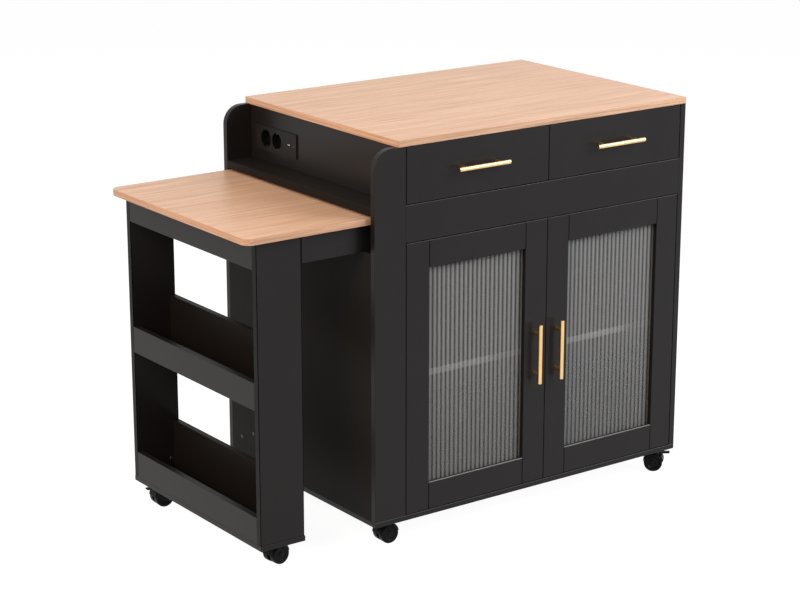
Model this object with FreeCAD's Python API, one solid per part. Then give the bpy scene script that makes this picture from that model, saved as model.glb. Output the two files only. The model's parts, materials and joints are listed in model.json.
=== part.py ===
import FreeCAD, Part
import math
import os

# Kitchen island on casters, in millimetres.
# Working frame: X runs along the front from the outer face of the left end, Y runs from the
# front face to the back, Z runs up from the underside of the base board.
# The saved parts are moved so that the origin is the middle of the footprint at floor level.

V = FreeCAD.Vector
UP = V(0, 0, 1)

# Shared stock sizes
board_thickness = 15.0
base_thickness = 12.0
deck_thickness = 18.0
edge_radius = 0.8
overrun = 2.0
touch_clearance = 0.3
pin_clearance = 0.05

# Carcass
cabinet_length = 892.0
cabinet_depth = 607.0
carcass_height = 855.0
stile_width = 83.0
stile_corner_radius = 44.0
deck_top = 728.0
rail_height = 84.0
rail_setdown = 3.0
reveal = 2.0
back_thickness = 5.0
back_groove = 5.0
hinge_post_width = 45.0

# Worktop
worktop_thickness = 15.0
worktop_niche_cover = 7.0
worktop_overhang = 3.0
worktop_setback = 1.0
worktop_corner_radius = 3.0

# Inner shelf and its pins
shelf_side_clearance = 1.0
shelf_front_clearance = 2.0
shelf_back_clearance = 2.0
shelf_pin_radius = 2.5
shelf_pin_length = 16.0
shelf_pin_inset = 50.0

# Power strip in the niche
strip_length = 168.0
strip_height = 57.0
strip_proud = 3.5
strip_corner_radius = 3.0
strip_from_back = 25.5
strip_above_deck = 56.0
strip_box_length = 152.0
strip_box_height = 47.0
strip_box_depth = 25.0
strip_box_wall = 2.0
socket_well_radius = 19.5
socket_well_depth = 17.5
socket_wall = 2.0
socket_spacing = 45.0
socket_from_end = 43.0
socket_pin_spacing = 19.0
socket_pin_radius = 2.5
usb_from_end = 32.0
usb_width = 13.0
usb_height = 5.6
usb_depth = 12.0
usb_wall = 1.0

# Side table
table_reach = 313.0
table_length = 1025.0
table_thickness = 15.0
table_height = 706.0
table_side_gap = 1.5
table_corner_radius = 22.0
apron_height = 63.0
apron_inset = 19.0

# Leg unit under the outer end of the side table
leg_unit_setback = 35.0
leg_unit_depth = 113.0
leg_unit_back_gap = 10.5
leg_board_proud = 1.5
leg_shelf_height = 317.5
outer_rail_height = 62.0
inner_rail_height = 121.0

# Doors
door_frame_width = 62.0
glass_thickness = 4.0
glass_rabbet = 8.0
glass_clearance = 1.0
rib_pitch = 12.5
rib_depth = 1.2

# Bar handles
handle_length = 140.0
handle_hole_spacing = 96.0
handle_bar_radius = 5.0
handle_post_radius = 4.75
handle_standoff = 20.0
handle_end_chamfer = 0.8

# Cup hinges
cup_radius = 17.5
cup_depth = 11.0
cup_edge_distance = 22.5
cup_wall = 2.0
cup_flange_width = 40.0
cup_flange_height = 52.0
cup_flange_thickness = 1.5
hinge_inset = 90.0
hinge_arm_gap = 0.5
hinge_arm_height = 14.0
hinge_arm_width = 8.0
hinge_arm_reach = 24.0
hinge_arm_thickness = 5.0
hinge_arm_length = 42.0
hinge_plate_thickness = 2.0
hinge_plate_length = 36.0
hinge_plate_height = 34.0

# Drawers and their runners
drawer_side_thickness = 12.0
drawer_box_height = 90.0
drawer_box_depth = 350.0
drawer_box_lift = 14.0
drawer_bottom_thickness = 5.0
drawer_bottom_groove = 5.0
drawer_bottom_lift = 8.0
runner_space = 12.7
runner_height = 45.0
runner_gauge = 1.2
runner_length = 340.0
runner_flange = 9.0
slide_flange = 9.5

# Casters
caster_height = 56.0
wheel_radius = 22.5
wheel_width = 15.0
wheel_edge_radius = 3.0
wheel_dish_radius = 14.5
wheel_dish_depth = 2.0
wheel_cap_radius = 7.0
wheel_axle_radius = 2.5
wheel_axle_grip = 9.0
wheel_axle_end_gap = 0.5
yoke_web = 8.0
yoke_gap = 0.6
yoke_web_radius = 18.0
hood_gap = 0.8
hood_thickness = 1.8
hood_front_angle = 8.0
hood_back_angle = 178.0
caster_trail = 14.0
neck_radius = 11.0
kingpin_radius = 4.0
plate_size = 40.0
plate_thickness = 2.5
plate_corner_radius = 4.0
plate_screw_inset = 6.0
screw_head_radius = 3.5
screw_head_height = 1.8
screw_shank_radius = 1.75
screw_grip = 9.0
lever_pivot_out = 18.0
lever_pivot_up = 22.0
lever_hub_radius = 2.6
lever_pin_radius = 1.5
lever_width = 14.0
lever_reach = 21.0
lever_rise = 1.5
lever_thickness = 2.6
lever_ear = 2.5
cabinet_caster_inset_x = 44.0
cabinet_caster_inset_y = 43.0
leg_caster_inset = 48.0

# Direction that each caster trails, in degrees from +X
swivel_front_left = -2.0
swivel_front_right = -46.0
swivel_back_left = 95.0
swivel_back_right = 70.0
swivel_leg_front = 8.0
swivel_leg_back = 176.0

# Places that follow from the sizes above
stile_back = board_thickness
back_stile_front = cabinet_depth - board_thickness
right_inner = cabinet_length - board_thickness
niche_face = stile_width - board_thickness
worktop_left = niche_face - worktop_niche_cover
worktop_right = cabinet_length - worktop_setback
strip_start = back_stile_front - strip_from_back - strip_length
strip_end = strip_start + strip_length
opening_middle = (stile_width + right_inner) / 2
deck_bottom = deck_top - deck_thickness
rail_top = deck_top - rail_setdown
rail_bottom = rail_top - rail_height
table_bottom = table_height - table_thickness
apron_bottom = table_bottom - apron_height
bay_floor_top = apron_bottom - touch_clearance
bay_floor_bottom = bay_floor_top - board_thickness
leg_outer = leg_unit_setback - table_reach
leg_inner = leg_outer + leg_unit_depth
table_front = stile_back + table_side_gap
table_back = back_stile_front - table_side_gap
leg_front = table_front + apron_inset
leg_back = table_back - leg_unit_back_gap
shelf_bottom = (base_thickness + bay_floor_bottom - board_thickness) / 2
door_bottom = base_thickness + reveal
door_top = rail_bottom - reveal
drawer_front_bottom = rail_top + reveal
drawer_front_top = carcass_height - reveal
drawer_front_middle = (drawer_front_bottom + drawer_front_top) / 2
drawer_box_bottom = deck_top + drawer_box_lift
runner_middle = drawer_box_bottom + drawer_box_height / 2
front_reach = handle_standoff + handle_bar_radius
origin = V((cabinet_length - table_reach) / 2, (cabinet_depth - front_reach) / 2, -caster_height)


def block(x, y, z):
    """A plain box between two values on each axis."""
    size = V(x[1] - x[0], y[1] - y[0], z[1] - z[0])
    return Part.makeBox(size.x, size.y, size.z, V(x[0], y[0], z[0]))


def board(x, y, z):
    """A box with its edges eased, as an edge-banded panel is."""
    solid = block(x, y, z)
    return solid.makeFillet(edge_radius, solid.Edges)


def rod(radius, start, end):
    """A cylinder from one point to another."""
    along = end - start
    return Part.makeCylinder(radius, along.Length, start, along)


def upright_edges(solid, x=None):
    """The vertical edges of a plain solid, or only those that stand at the given x."""
    found = []
    for edge in solid.Edges:
        start, end = [vertex.Point for vertex in edge.Vertexes]
        upright = (start - end).cross(UP).Length < edge_radius
        if upright and (x is None or abs(start.x - x) < edge_radius):
            found.append(edge)
    return found


def save(name, *solids):
    """Writes one node, moved to the part's own origin."""
    shape = solids[0] if len(solids) == 1 else Part.makeCompound(list(solids))
    shape = shape.copy()
    shape.translate(origin.negative())
    shape.exportStep("parts/" + name + ".step")


def rounded_stile(y):
    """An end stile with its upper outer corner rounded."""
    solid = block((0, stile_width), y, (base_thickness, carcass_height))
    corner = [
        edge
        for edge in solid.Edges
        if all(p.Point.x < edge_radius and p.Point.z > carcass_height - edge_radius for p in edge.Vertexes)
    ]
    solid = solid.makeFillet(stile_corner_radius, corner)
    return solid.makeFillet(edge_radius, solid.Edges)


def caster_stems():
    """Swivel axis and trailing direction of each caster under the cabinet and the leg unit."""
    x_left = cabinet_caster_inset_x
    x_right = cabinet_length - cabinet_caster_inset_x
    y_front = cabinet_caster_inset_y
    y_back = cabinet_depth - cabinet_caster_inset_y
    x_leg = (leg_outer + leg_inner) / 2
    cabinet = {
        "front_left": (V(x_left, y_front, 0), swivel_front_left, False),
        "front_right": (V(x_right, y_front, 0), swivel_front_right, True),
        "back_left": (V(x_left, y_back, 0), swivel_back_left, False),
        "back_right": (V(x_right, y_back, 0), swivel_back_right, False),
    }
    leg = {
        "leg_front": (V(x_leg, leg_front + leg_caster_inset, 0), swivel_leg_front, False),
        "leg_back": (V(x_leg, leg_back - leg_caster_inset, 0), swivel_leg_back, True),
    }
    return cabinet, leg


def plate_screws(stem):
    """The four screws of one caster plate, head below the plate and shank up into the board."""
    offset = plate_size / 2 - plate_screw_inset
    screws = []
    for dx in (-offset, offset):
        for dy in (-offset, offset):
            at = stem + V(dx, dy, -plate_thickness)
            head = rod(screw_head_radius, at - UP * screw_head_height, at)
            shank = rod(screw_shank_radius, at, at + UP * (plate_thickness + screw_grip))
            screws.append(head.fuse(shank).removeSplitter())
    return screws


def caster_plate(stem, screws):
    """A square swivel plate with its kingpin bore and screw holes."""
    half = plate_size / 2
    plate = block((-half, half), (-half, half), (-plate_thickness, 0))
    plate = plate.makeFillet(plate_corner_radius, upright_edges(plate))
    plate.translate(stem)
    bore = rod(kingpin_radius + pin_clearance, stem - UP * (plate_thickness + overrun), stem + UP * overrun)
    plate = plate.cut(bore)
    for screw in screws:
        plate = plate.cut(screw)
    return plate


def make_base_and_plates():
    """Base boards of the cabinet and the leg unit, with the caster plates screwed under them."""
    cabinet, leg = caster_stems()
    cabinet_base = board((0, cabinet_length), (0, cabinet_depth), (0, base_thickness))
    leg_base = board(
        (leg_outer, leg_inner + leg_board_proud),
        (leg_front - leg_board_proud, leg_back + leg_board_proud),
        (0, base_thickness),
    )
    for base, stems, base_name, plate_name in (
        (cabinet_base, cabinet, "bottom_board", "cabinet_caster_plates"),
        (leg_base, leg, "leg_bottom_board", "leg_caster_plates"),
    ):
        pieces = []
        for stem, _, _ in stems.values():
            screws = plate_screws(stem)
            pieces.append(caster_plate(stem, screws))
            pieces.extend(screws)
            for screw in screws:
                base = base.cut(screw)
        save(base_name, base)
        save(plate_name, *pieces)


def wheel_disc():
    """One wheel of a twin-wheel caster about the Y axis, inner face at y=0 and hub bore for the axle."""
    bore = wheel_axle_radius + pin_clearance
    bore_end = wheel_axle_grip + wheel_axle_end_gap
    profile = [
        V(bore, 0, 0),
        V(wheel_radius, 0, 0),
        V(wheel_radius, wheel_width - wheel_edge_radius, 0),
    ]
    mid = wheel_edge_radius * (1 - math.sqrt(1 / 2))
    arc_mid = V(wheel_radius - mid, wheel_width - mid, 0)
    arc_end = V(wheel_radius - wheel_edge_radius, wheel_width, 0)
    dish = [
        V(wheel_dish_radius, wheel_width, 0),
        V(wheel_dish_radius - wheel_dish_depth, wheel_width - wheel_dish_depth, 0),
        V(wheel_cap_radius, wheel_width - wheel_dish_depth, 0),
        V(wheel_cap_radius, wheel_width, 0),
        V(0, wheel_width, 0),
        V(0, bore_end, 0),
        V(bore, bore_end, 0),
        V(bore, 0, 0),
    ]
    edges = [Part.LineSegment(a, b).toShape() for a, b in zip(profile, profile[1:])]
    edges.append(Part.Arc(profile[-1], arc_mid, arc_end).toShape())
    run = [arc_end] + dish
    edges += [Part.LineSegment(a, b).toShape() for a, b in zip(run, run[1:])]
    face = Part.Face(Part.Wire(Part.__sortEdges__(edges)))
    return face.revolve(V(0, 0, 0), V(0, 1, 0), 360)


def caster_wheels():
    """Twin wheels on their axle, about the Y axis through the local origin."""
    inner = yoke_web / 2 + yoke_gap
    right = wheel_disc()
    right.translate(V(0, inner, 0))
    left = right.mirror(V(0, 0, 0), V(0, 1, 0))
    grip = inner + wheel_axle_grip
    axle = rod(wheel_axle_radius, V(0, -grip, 0), V(0, grip, 0))
    return [right, left, axle]


def hood_sector(radius, half_width):
    """A wedge of a cylinder about the wheel axis, over the stretch that the hood covers."""
    sweep = hood_back_angle - hood_front_angle
    wedge = Part.makeCylinder(radius, half_width * 2, V(0, 0, -half_width), UP, sweep)
    wedge.rotate(V(0, 0, 0), UP, hood_front_angle)
    wedge.rotate(V(0, 0, 0), V(1, 0, 0), 90)
    return wedge


def lever_pivot():
    """The brake lever's pivot, measured from the wheel centre."""
    return V(lever_pivot_out, 0, lever_pivot_up)


def caster_hood(braked):
    """Yoke web, hood, neck and kingpin, with the wheel centre at the local origin."""
    axle_to_board = caster_height - wheel_radius
    half = yoke_web / 2 + yoke_gap + wheel_width - wheel_edge_radius
    hood_inner = wheel_radius + hood_gap
    hood_outer = hood_inner + hood_thickness
    hood = hood_sector(hood_outer, half).cut(hood_sector(hood_inner, half + overrun))
    web = rod(yoke_web_radius, V(0, -yoke_web / 2, 0), V(0, yoke_web / 2, 0))
    rib = hood_sector(hood_outer, yoke_web / 2)
    stem = V(-caster_trail, 0, 0)
    neck_top = axle_to_board - plate_thickness - touch_clearance
    neck = rod(neck_radius, stem + UP * yoke_web_radius, stem + UP * neck_top)
    wheel_room = rod(hood_inner, V(0, -half - overrun, 0), V(0, half + overrun, 0))
    neck = neck.cut(wheel_room)
    kingpin = rod(kingpin_radius, stem + UP * (neck_top - overrun), stem + UP * (axle_to_board - touch_clearance))
    solid = hood.fuse([web, rib, neck, kingpin])
    if braked:
        pivot = lever_pivot()
        side = lever_width / 2 + touch_clearance
        for sign in (-1, 1):
            a = pivot + V(0, sign * side, 0)
            b = pivot + V(0, sign * (side + lever_ear), 0)
            boss = rod(lever_hub_radius, a, b)
            cheek = block(
                (pivot.x - lever_hub_radius, pivot.x + lever_hub_radius),
                sorted((a.y, b.y)),
                (0, pivot.z),
            )
            solid = solid.fuse([boss, cheek.cut(wheel_room)])
    bore = rod(wheel_axle_radius + pin_clearance, V(0, -yoke_web, 0), V(0, yoke_web, 0))
    solid = solid.cut(bore)
    if braked:
        pivot = lever_pivot()
        reach = V(0, lever_width, 0)
        solid = solid.cut(rod(lever_pin_radius + pin_clearance, pivot - reach, pivot + reach))
    return solid.removeSplitter()


def brake_lever():
    """Foot lever with its hub and pin, measured from the wheel centre."""
    pivot = lever_pivot()
    half = V(0, lever_width / 2, 0)
    hub = rod(lever_hub_radius - touch_clearance, pivot - half, pivot + half)
    ears = V(0, touch_clearance + lever_ear, 0)
    pin = rod(lever_pin_radius, pivot - half - ears, pivot + half + ears)
    tip = pivot + V(lever_reach, 0, lever_rise)
    drop = UP * (lever_thickness / 2)
    corners = [pivot + drop, tip + drop, tip - drop, pivot - drop]
    outline = Part.makePolygon([p - half for p in corners] + [corners[0] - half])
    arm = Part.Face(outline).extrude(half * 2)
    arm = arm.makeFillet(lever_thickness, upright_edges(arm, x=tip.x))
    return hub.fuse([pin, arm]).removeSplitter()


def make_casters():
    """Hoods, wheels and brake levers, each set at its own swivel angle."""
    cabinet, leg = caster_stems()
    for name, (stem, angle, braked) in {**cabinet, **leg}.items():
        centre = V(caster_trail, 0, wheel_radius - caster_height)
        pieces = {"caster_hood": [caster_hood(braked)], "caster_wheels": caster_wheels()}
        if braked:
            pieces["caster_brake"] = [brake_lever()]
        for kind, solids in pieces.items():
            for solid in solids:
                solid.translate(centre)
                solid.rotate(V(0, 0, 0), UP, angle)
                solid.translate(stem)
            save(kind + "_" + name, *solids)


def make_carcass():
    """Boards that make the cabinet itself, with the back panel let into grooves."""
    depth = (stile_back, back_stile_front)
    back = block(
        (stile_width - back_groove, right_inner + back_groove),
        (back_stile_front, back_stile_front + back_thickness),
        (base_thickness, carcass_height),
    )
    save("back_panel", back)
    save("front_stile", rounded_stile((0, stile_back)))
    save("back_stile", rounded_stile((back_stile_front, cabinet_depth)).cut(back))
    right = board((right_inner, cabinet_length), (0, cabinet_depth), (base_thickness, carcass_height)).cut(back)
    left = board((0, board_thickness), depth, (base_thickness, bay_floor_top))
    pins = shelf_pins()
    for pin in pins:
        left = left.cut(pin)
        right = right.cut(pin)
    save("left_end_panel", left)
    save("right_end_panel", right)
    save("shelf_pins", *pins)
    shelf_x = (board_thickness + shelf_side_clearance, right_inner - shelf_side_clearance)
    shelf_y = (stile_back + hinge_post_width + shelf_front_clearance, back_stile_front - shelf_back_clearance)
    save("inner_shelf", board(shelf_x, shelf_y, (shelf_bottom, shelf_bottom + board_thickness)))
    save("bay_floor", board((board_thickness, right_inner), depth, (bay_floor_bottom, bay_floor_top)))
    save("mid_deck", board((0, right_inner), depth, (deck_bottom, deck_top)))
    divider = (opening_middle - board_thickness / 2, opening_middle + board_thickness / 2)
    save("drawer_divider", board(divider, depth, (deck_top, carcass_height)))
    save("front_rail", board((stile_width, right_inner), (0, stile_back), (rail_bottom, rail_top)))
    post_y = (stile_back, stile_back + hinge_post_width)
    save("hinge_post", board((niche_face, stile_width), post_y, (base_thickness, bay_floor_bottom)))
    top = block(
        (worktop_left, worktop_right),
        (-worktop_overhang, cabinet_depth),
        (carcass_height, carcass_height + worktop_thickness),
    )
    top = top.makeFillet(worktop_corner_radius, upright_edges(top))
    save("worktop", top.makeFillet(edge_radius, top.Edges))


def shelf_pins():
    """Four pins that carry the inner shelf from the two end panels."""
    z = shelf_bottom - shelf_pin_radius
    y_front = stile_back + hinge_post_width + shelf_pin_inset
    y_back = back_stile_front - shelf_pin_inset
    half = V(shelf_pin_length / 2, 0, 0)
    return [
        rod(shelf_pin_radius, V(x, y, z) - half, V(x, y, z) + half)
        for x in (board_thickness, right_inner)
        for y in (y_front, y_back)
    ]


def make_power_strip():
    """Niche wall with its cut-out, the strip's housing, and the sockets and charging port in it."""
    z_mid = deck_top + strip_above_deck
    y_mid = (strip_start + strip_end) / 2
    face = niche_face - strip_proud
    back = niche_face + strip_box_depth
    plate = block(
        (face, niche_face),
        (strip_start, strip_end),
        (z_mid - strip_height / 2, z_mid + strip_height / 2),
    )
    corners = [edge for edge in plate.Edges if abs(edge.tangentAt(0).x) > math.sqrt(1 / 2)]
    plate = plate.makeFillet(strip_corner_radius, corners)
    box_y = (y_mid - strip_box_length / 2, y_mid + strip_box_length / 2)
    box_z = (z_mid - strip_box_height / 2, z_mid + strip_box_height / 2)
    tub = block((niche_face, back), box_y, box_z)
    cut_out = block(
        (niche_face - overrun, stile_width + overrun),
        (box_y[0] - touch_clearance, box_y[1] + touch_clearance),
        (box_z[0] - touch_clearance, box_z[1] + touch_clearance),
    )
    wall = board((niche_face, stile_width), (stile_back, back_stile_front), (deck_top, carcass_height))
    save("niche_wall", wall.cut(cut_out))
    hollow = block(
        (niche_face, back - strip_box_wall),
        (box_y[0] + strip_box_wall, box_y[1] - strip_box_wall),
        (box_z[0] + strip_box_wall, box_z[1] - strip_box_wall),
    )
    housing = plate.fuse(tub.cut(hollow))
    first_socket = strip_end - socket_from_end
    outer = socket_well_radius + socket_wall
    inserts = []
    for y in (first_socket, first_socket - socket_spacing):
        start = V(face, y, z_mid)
        floor = start + V(socket_well_depth, 0, 0)
        cup = rod(outer, start, floor + V(socket_wall, 0, 0)).cut(
            rod(socket_well_radius, start - V(overrun, 0, 0), floor)
        )
        for dy in (-socket_pin_spacing / 2, socket_pin_spacing / 2):
            at = floor + V(0, dy, 0)
            cup = cup.cut(rod(socket_pin_radius, at - V(overrun, 0, 0), at + V(socket_wall + overrun, 0, 0)))
        inserts.append(cup)
        housing = housing.cut(rod(outer, start - V(overrun, 0, 0), floor + V(socket_wall, 0, 0)))
    port_y = strip_start + usb_from_end
    port = block(
        (face, face + usb_depth),
        (port_y - usb_width / 2 - usb_wall, port_y + usb_width / 2 + usb_wall),
        (z_mid - usb_height / 2 - usb_wall, z_mid + usb_height / 2 + usb_wall),
    )
    mouth = block(
        (face - overrun, face + usb_depth - usb_wall),
        (port_y - usb_width / 2, port_y + usb_width / 2),
        (z_mid - usb_height / 2, z_mid + usb_height / 2),
    )
    housing = housing.cut(port)
    inserts.append(port.cut(mouth))
    save("power_strip_housing", housing.removeSplitter())
    save("power_strip_inserts", *inserts)


def bar_handle(middle, along):
    """A round bar on two posts, standing off the front face."""
    centre = V(middle.x, -handle_standoff, middle.z)
    half = along * (handle_length / 2)
    bar = rod(handle_bar_radius, centre - half, centre + half)
    rims = [edge for edge in bar.Edges if edge.Closed]
    bar = bar.makeChamfer(handle_end_chamfer, rims)
    posts = []
    for sign in (-1, 1):
        foot = middle + along * (sign * handle_hole_spacing / 2)
        posts.append(rod(handle_post_radius, V(foot.x, 0, foot.z), V(foot.x, -handle_standoff, foot.z)))
    return bar.fuse(posts).removeSplitter()


def ribbed_glass(x, z):
    """A pane with upright half-round ribs on its front and a flat back."""
    count = max(1, round((x[1] - x[0]) / rib_pitch))
    pitch = (x[1] - x[0]) / count
    y_back = board_thickness
    y_valley = board_thickness - glass_thickness + rib_depth
    y_crest = y_valley - rib_depth
    edges = []
    for k in range(count):
        a = V(x[0] + k * pitch, y_valley, z[0])
        b = V(x[0] + (k + 1) * pitch, y_valley, z[0])
        crest = V((a.x + b.x) / 2, y_crest, z[0])
        edges.append(Part.Arc(a, crest, b).toShape())
    corners = [V(x[1], y_valley, z[0]), V(x[1], y_back, z[0]), V(x[0], y_back, z[0]), V(x[0], y_valley, z[0])]
    edges += [Part.LineSegment(a, b).toShape() for a, b in zip(corners, corners[1:])]
    face = Part.Face(Part.Wire(Part.__sortEdges__(edges)))
    return face.extrude(UP * (z[1] - z[0]))


def hinge_pair(face_x, inward):
    """Cups and arms of a door's two hinges. Inward is +1 or -1 along X, away from the mounting face."""
    cups = []
    arms = []
    bores = []

    def across(a, b):
        """An X interval measured inward from the mounting face."""
        return sorted((face_x + inward * a, face_x + inward * b))

    middle = reveal + cup_edge_distance
    neck_front = board_thickness + cup_flange_thickness + hinge_arm_gap
    for z in (door_bottom + hinge_inset, door_top - hinge_inset):
        axis_x = face_x + inward * middle
        cup = rod(cup_radius, V(axis_x, board_thickness - cup_depth, z), V(axis_x, board_thickness, z))
        bores.append(cup)
        flange = block(
            across(middle - cup_flange_width / 2, middle + cup_flange_width / 2),
            (board_thickness, board_thickness + cup_flange_thickness),
            (z - cup_flange_height / 2, z + cup_flange_height / 2),
        )
        pocket = rod(
            cup_radius - cup_wall,
            V(axis_x, board_thickness - cup_depth + cup_wall, z),
            V(axis_x, board_thickness + cup_flange_thickness + overrun, z),
        )
        cups.append(cup.fuse(flange).cut(pocket).removeSplitter())
        arm_z = (z - hinge_arm_height / 2, z + hinge_arm_height / 2)
        neck = block(across(0, hinge_arm_reach), (neck_front, neck_front + hinge_arm_thickness), arm_z)
        arm = block(across(0, hinge_arm_width), (neck_front, neck_front + hinge_arm_length), arm_z)
        plate_end = neck_front + hinge_arm_length
        plate = block(
            across(0, hinge_plate_thickness),
            (plate_end - hinge_plate_length, plate_end),
            (z - hinge_plate_height / 2, z + hinge_plate_height / 2),
        )
        arms.append(neck.fuse([arm, plate]).removeSplitter())
    return cups, arms, bores


def make_doors():
    """Two framed doors with ribbed glass, their handles and hinges."""
    all_arms = []
    middle_gap = reveal / 2
    z_mid = (door_bottom + door_top) / 2
    for side, x, face_x, inward in (
        ("left", (stile_width + reveal, opening_middle - middle_gap), stile_width, 1),
        ("right", (opening_middle + middle_gap, right_inner - reveal), right_inner, -1),
    ):
        cups, arms, bores = hinge_pair(face_x, inward)
        all_arms.extend(arms)
        y = (0, board_thickness)
        inner_x = (x[0] + door_frame_width, x[1] - door_frame_width)
        inner_z = (door_bottom + door_frame_width, door_top - door_frame_width)
        frame = [
            board((x[0], inner_x[0]), y, (door_bottom, door_top)),
            board((inner_x[1], x[1]), y, (door_bottom, door_top)),
            board(inner_x, y, (door_bottom, inner_z[0])),
            board(inner_x, y, (inner_z[1], door_top)),
        ]
        rabbet = block(
            (inner_x[0] - glass_rabbet, inner_x[1] + glass_rabbet),
            (board_thickness - glass_thickness, board_thickness + overrun),
            (inner_z[0] - glass_rabbet, inner_z[1] + glass_rabbet),
        )
        frame = [piece.cut(rabbet) for piece in frame]
        for bore in bores:
            frame = [piece.cut(bore) for piece in frame]
        save(side + "_door_frame", *frame)
        bite = glass_rabbet - glass_clearance
        glass_x = (inner_x[0] - bite, inner_x[1] + bite)
        glass_z = (inner_z[0] - bite, inner_z[1] + bite)
        save(side + "_door_glass", ribbed_glass(glass_x, glass_z))
        free_edge = x[1] if inward > 0 else x[0]
        handle_x = free_edge - inward * door_frame_width / 2
        save(side + "_door_handle", bar_handle(V(handle_x, 0, z_mid), UP))
        save(side + "_door_hinge_cups", *cups)
    save("door_hinge_arms", *all_arms)


def runner_pair(x, y):
    """Fixed channels and moving slides on both sides of one drawer opening."""
    channels = []
    slides = []
    half = runner_height / 2
    slide_half = half - runner_gauge - touch_clearance
    for wall_x, inward in ((x[0], 1), (x[1], -1)):

        def piece(a, b, z):
            """A strip along the runner, measured inward from the wall."""
            return block(sorted((wall_x + inward * a, wall_x + inward * b)), y, z)

        web = piece(0, runner_gauge, (runner_middle - half, runner_middle + half))
        lips = [
            piece(0, runner_flange, (runner_middle + half - runner_gauge, runner_middle + half)),
            piece(0, runner_flange, (runner_middle - half, runner_middle - half + runner_gauge)),
        ]
        channels.append(web.fuse(lips).removeSplitter())
        inner = runner_space - runner_gauge
        slide_web = piece(inner, runner_space, (runner_middle - slide_half, runner_middle + slide_half))
        start = runner_space - slide_flange
        slide_lips = [
            piece(start, inner, (runner_middle + slide_half - runner_gauge, runner_middle + slide_half)),
            piece(start, inner, (runner_middle - slide_half, runner_middle - slide_half + runner_gauge)),
        ]
        slides.append(slide_web.fuse(slide_lips).removeSplitter())
    return channels, slides


def make_drawers():
    """Two inset drawers: front, box of sides, back and bottom, handle, and runners."""
    all_channels = []
    middle_gap = reveal / 2
    half_divider = board_thickness / 2
    y = (stile_back, stile_back + drawer_box_depth)
    z = (drawer_box_bottom, drawer_box_bottom + drawer_box_height)
    for side, front_x, room_x in (
        (
            "left",
            (stile_width + reveal, opening_middle - middle_gap),
            (stile_width, opening_middle - half_divider),
        ),
        (
            "right",
            (opening_middle + middle_gap, right_inner - reveal),
            (opening_middle + half_divider, right_inner),
        ),
    ):
        channels, slides = runner_pair(room_x, (stile_back, stile_back + runner_length))
        all_channels.extend(channels)
        x = (room_x[0] + runner_space, room_x[1] - runner_space)
        inner_x = (x[0] + drawer_side_thickness, x[1] - drawer_side_thickness)
        bottom_z = z[0] + drawer_bottom_lift
        bottom = block(
            (inner_x[0] - drawer_bottom_groove, inner_x[1] + drawer_bottom_groove),
            (y[0], y[1] - drawer_side_thickness + drawer_bottom_groove),
            (bottom_z, bottom_z + drawer_bottom_thickness),
        )
        walls = [
            block((x[0], inner_x[0]), y, z).cut(bottom),
            block((inner_x[1], x[1]), y, z).cut(bottom),
            block(inner_x, (y[1] - drawer_side_thickness, y[1]), z).cut(bottom),
        ]
        front = board(front_x, (0, board_thickness), (drawer_front_bottom, drawer_front_top))
        save(side + "_drawer_front", front)
        save(side + "_drawer_box", *walls, bottom)
        middle = V((front_x[0] + front_x[1]) / 2, 0, drawer_front_middle)
        save(side + "_drawer_handle", bar_handle(middle, V(1, 0, 0)))
        save(side + "_drawer_slides", *slides)
    save("drawer_runner_channels", *all_channels)


def make_side_table():
    """Sliding table top with its aprons, and the open leg unit that carries its outer end."""
    inner_end = table_length - table_reach
    top = block((-table_reach, inner_end), (table_front, table_back), (table_bottom, table_height))
    top = top.makeFillet(table_corner_radius, upright_edges(top, x=-table_reach))
    save("table_top", top.makeFillet(edge_radius, top.Edges))
    apron_z = (apron_bottom, table_bottom)
    front_y = (leg_front, leg_front + board_thickness)
    back_y = (leg_back - board_thickness, leg_back)
    inner_y = (front_y[1], back_y[0])
    save("table_aprons", *[board((leg_inner, inner_end), y, apron_z) for y in (front_y, back_y)])
    save("table_inner_rail", board((inner_end - board_thickness, inner_end), inner_y, apron_z))
    panel_z = (base_thickness, table_bottom)
    save("leg_front_panel", board((leg_outer, leg_inner), front_y, panel_z))
    save("leg_back_panel", board((leg_outer, leg_inner), back_y, panel_z))
    outer_x = (leg_outer, leg_outer + board_thickness)
    inner_x = (leg_inner - board_thickness, leg_inner)
    shelf_z = (leg_shelf_height, leg_shelf_height + board_thickness)
    save("leg_middle_shelf", board((outer_x[1], inner_x[0]), inner_y, shelf_z))
    feet = (base_thickness, leg_shelf_height)
    outer = [board(outer_x, inner_y, (z, z + outer_rail_height)) for z in feet]
    inner = [board(inner_x, inner_y, (z, z + inner_rail_height)) for z in feet]
    save("leg_outer_rails", *outer, board(outer_x, inner_y, apron_z))
    save("leg_inner_rails", *inner, board(inner_x, inner_y, apron_z))


def main():
    """Writes every node."""
    os.makedirs("parts", exist_ok=True)
    make_base_and_plates()
    make_carcass()
    make_power_strip()
    make_doors()
    make_drawers()
    make_side_table()
    make_casters()


main()
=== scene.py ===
"""Looks of a kitchen island on casters, with a power strip niche and a slide-out side table.

Lengths are in millimetres, and the studio's in metres, in the island's own frame: the origin is the
middle of the footprint on the floor, X runs along the front, Y from the doors to the back, Z up.
"""
import json
import logging
import math
from collections.abc import Callable, Iterable, Sequence
from dataclasses import dataclass
from enum import Enum

import bmesh
import bpy
from mathutils import Matrix, Vector


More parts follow.
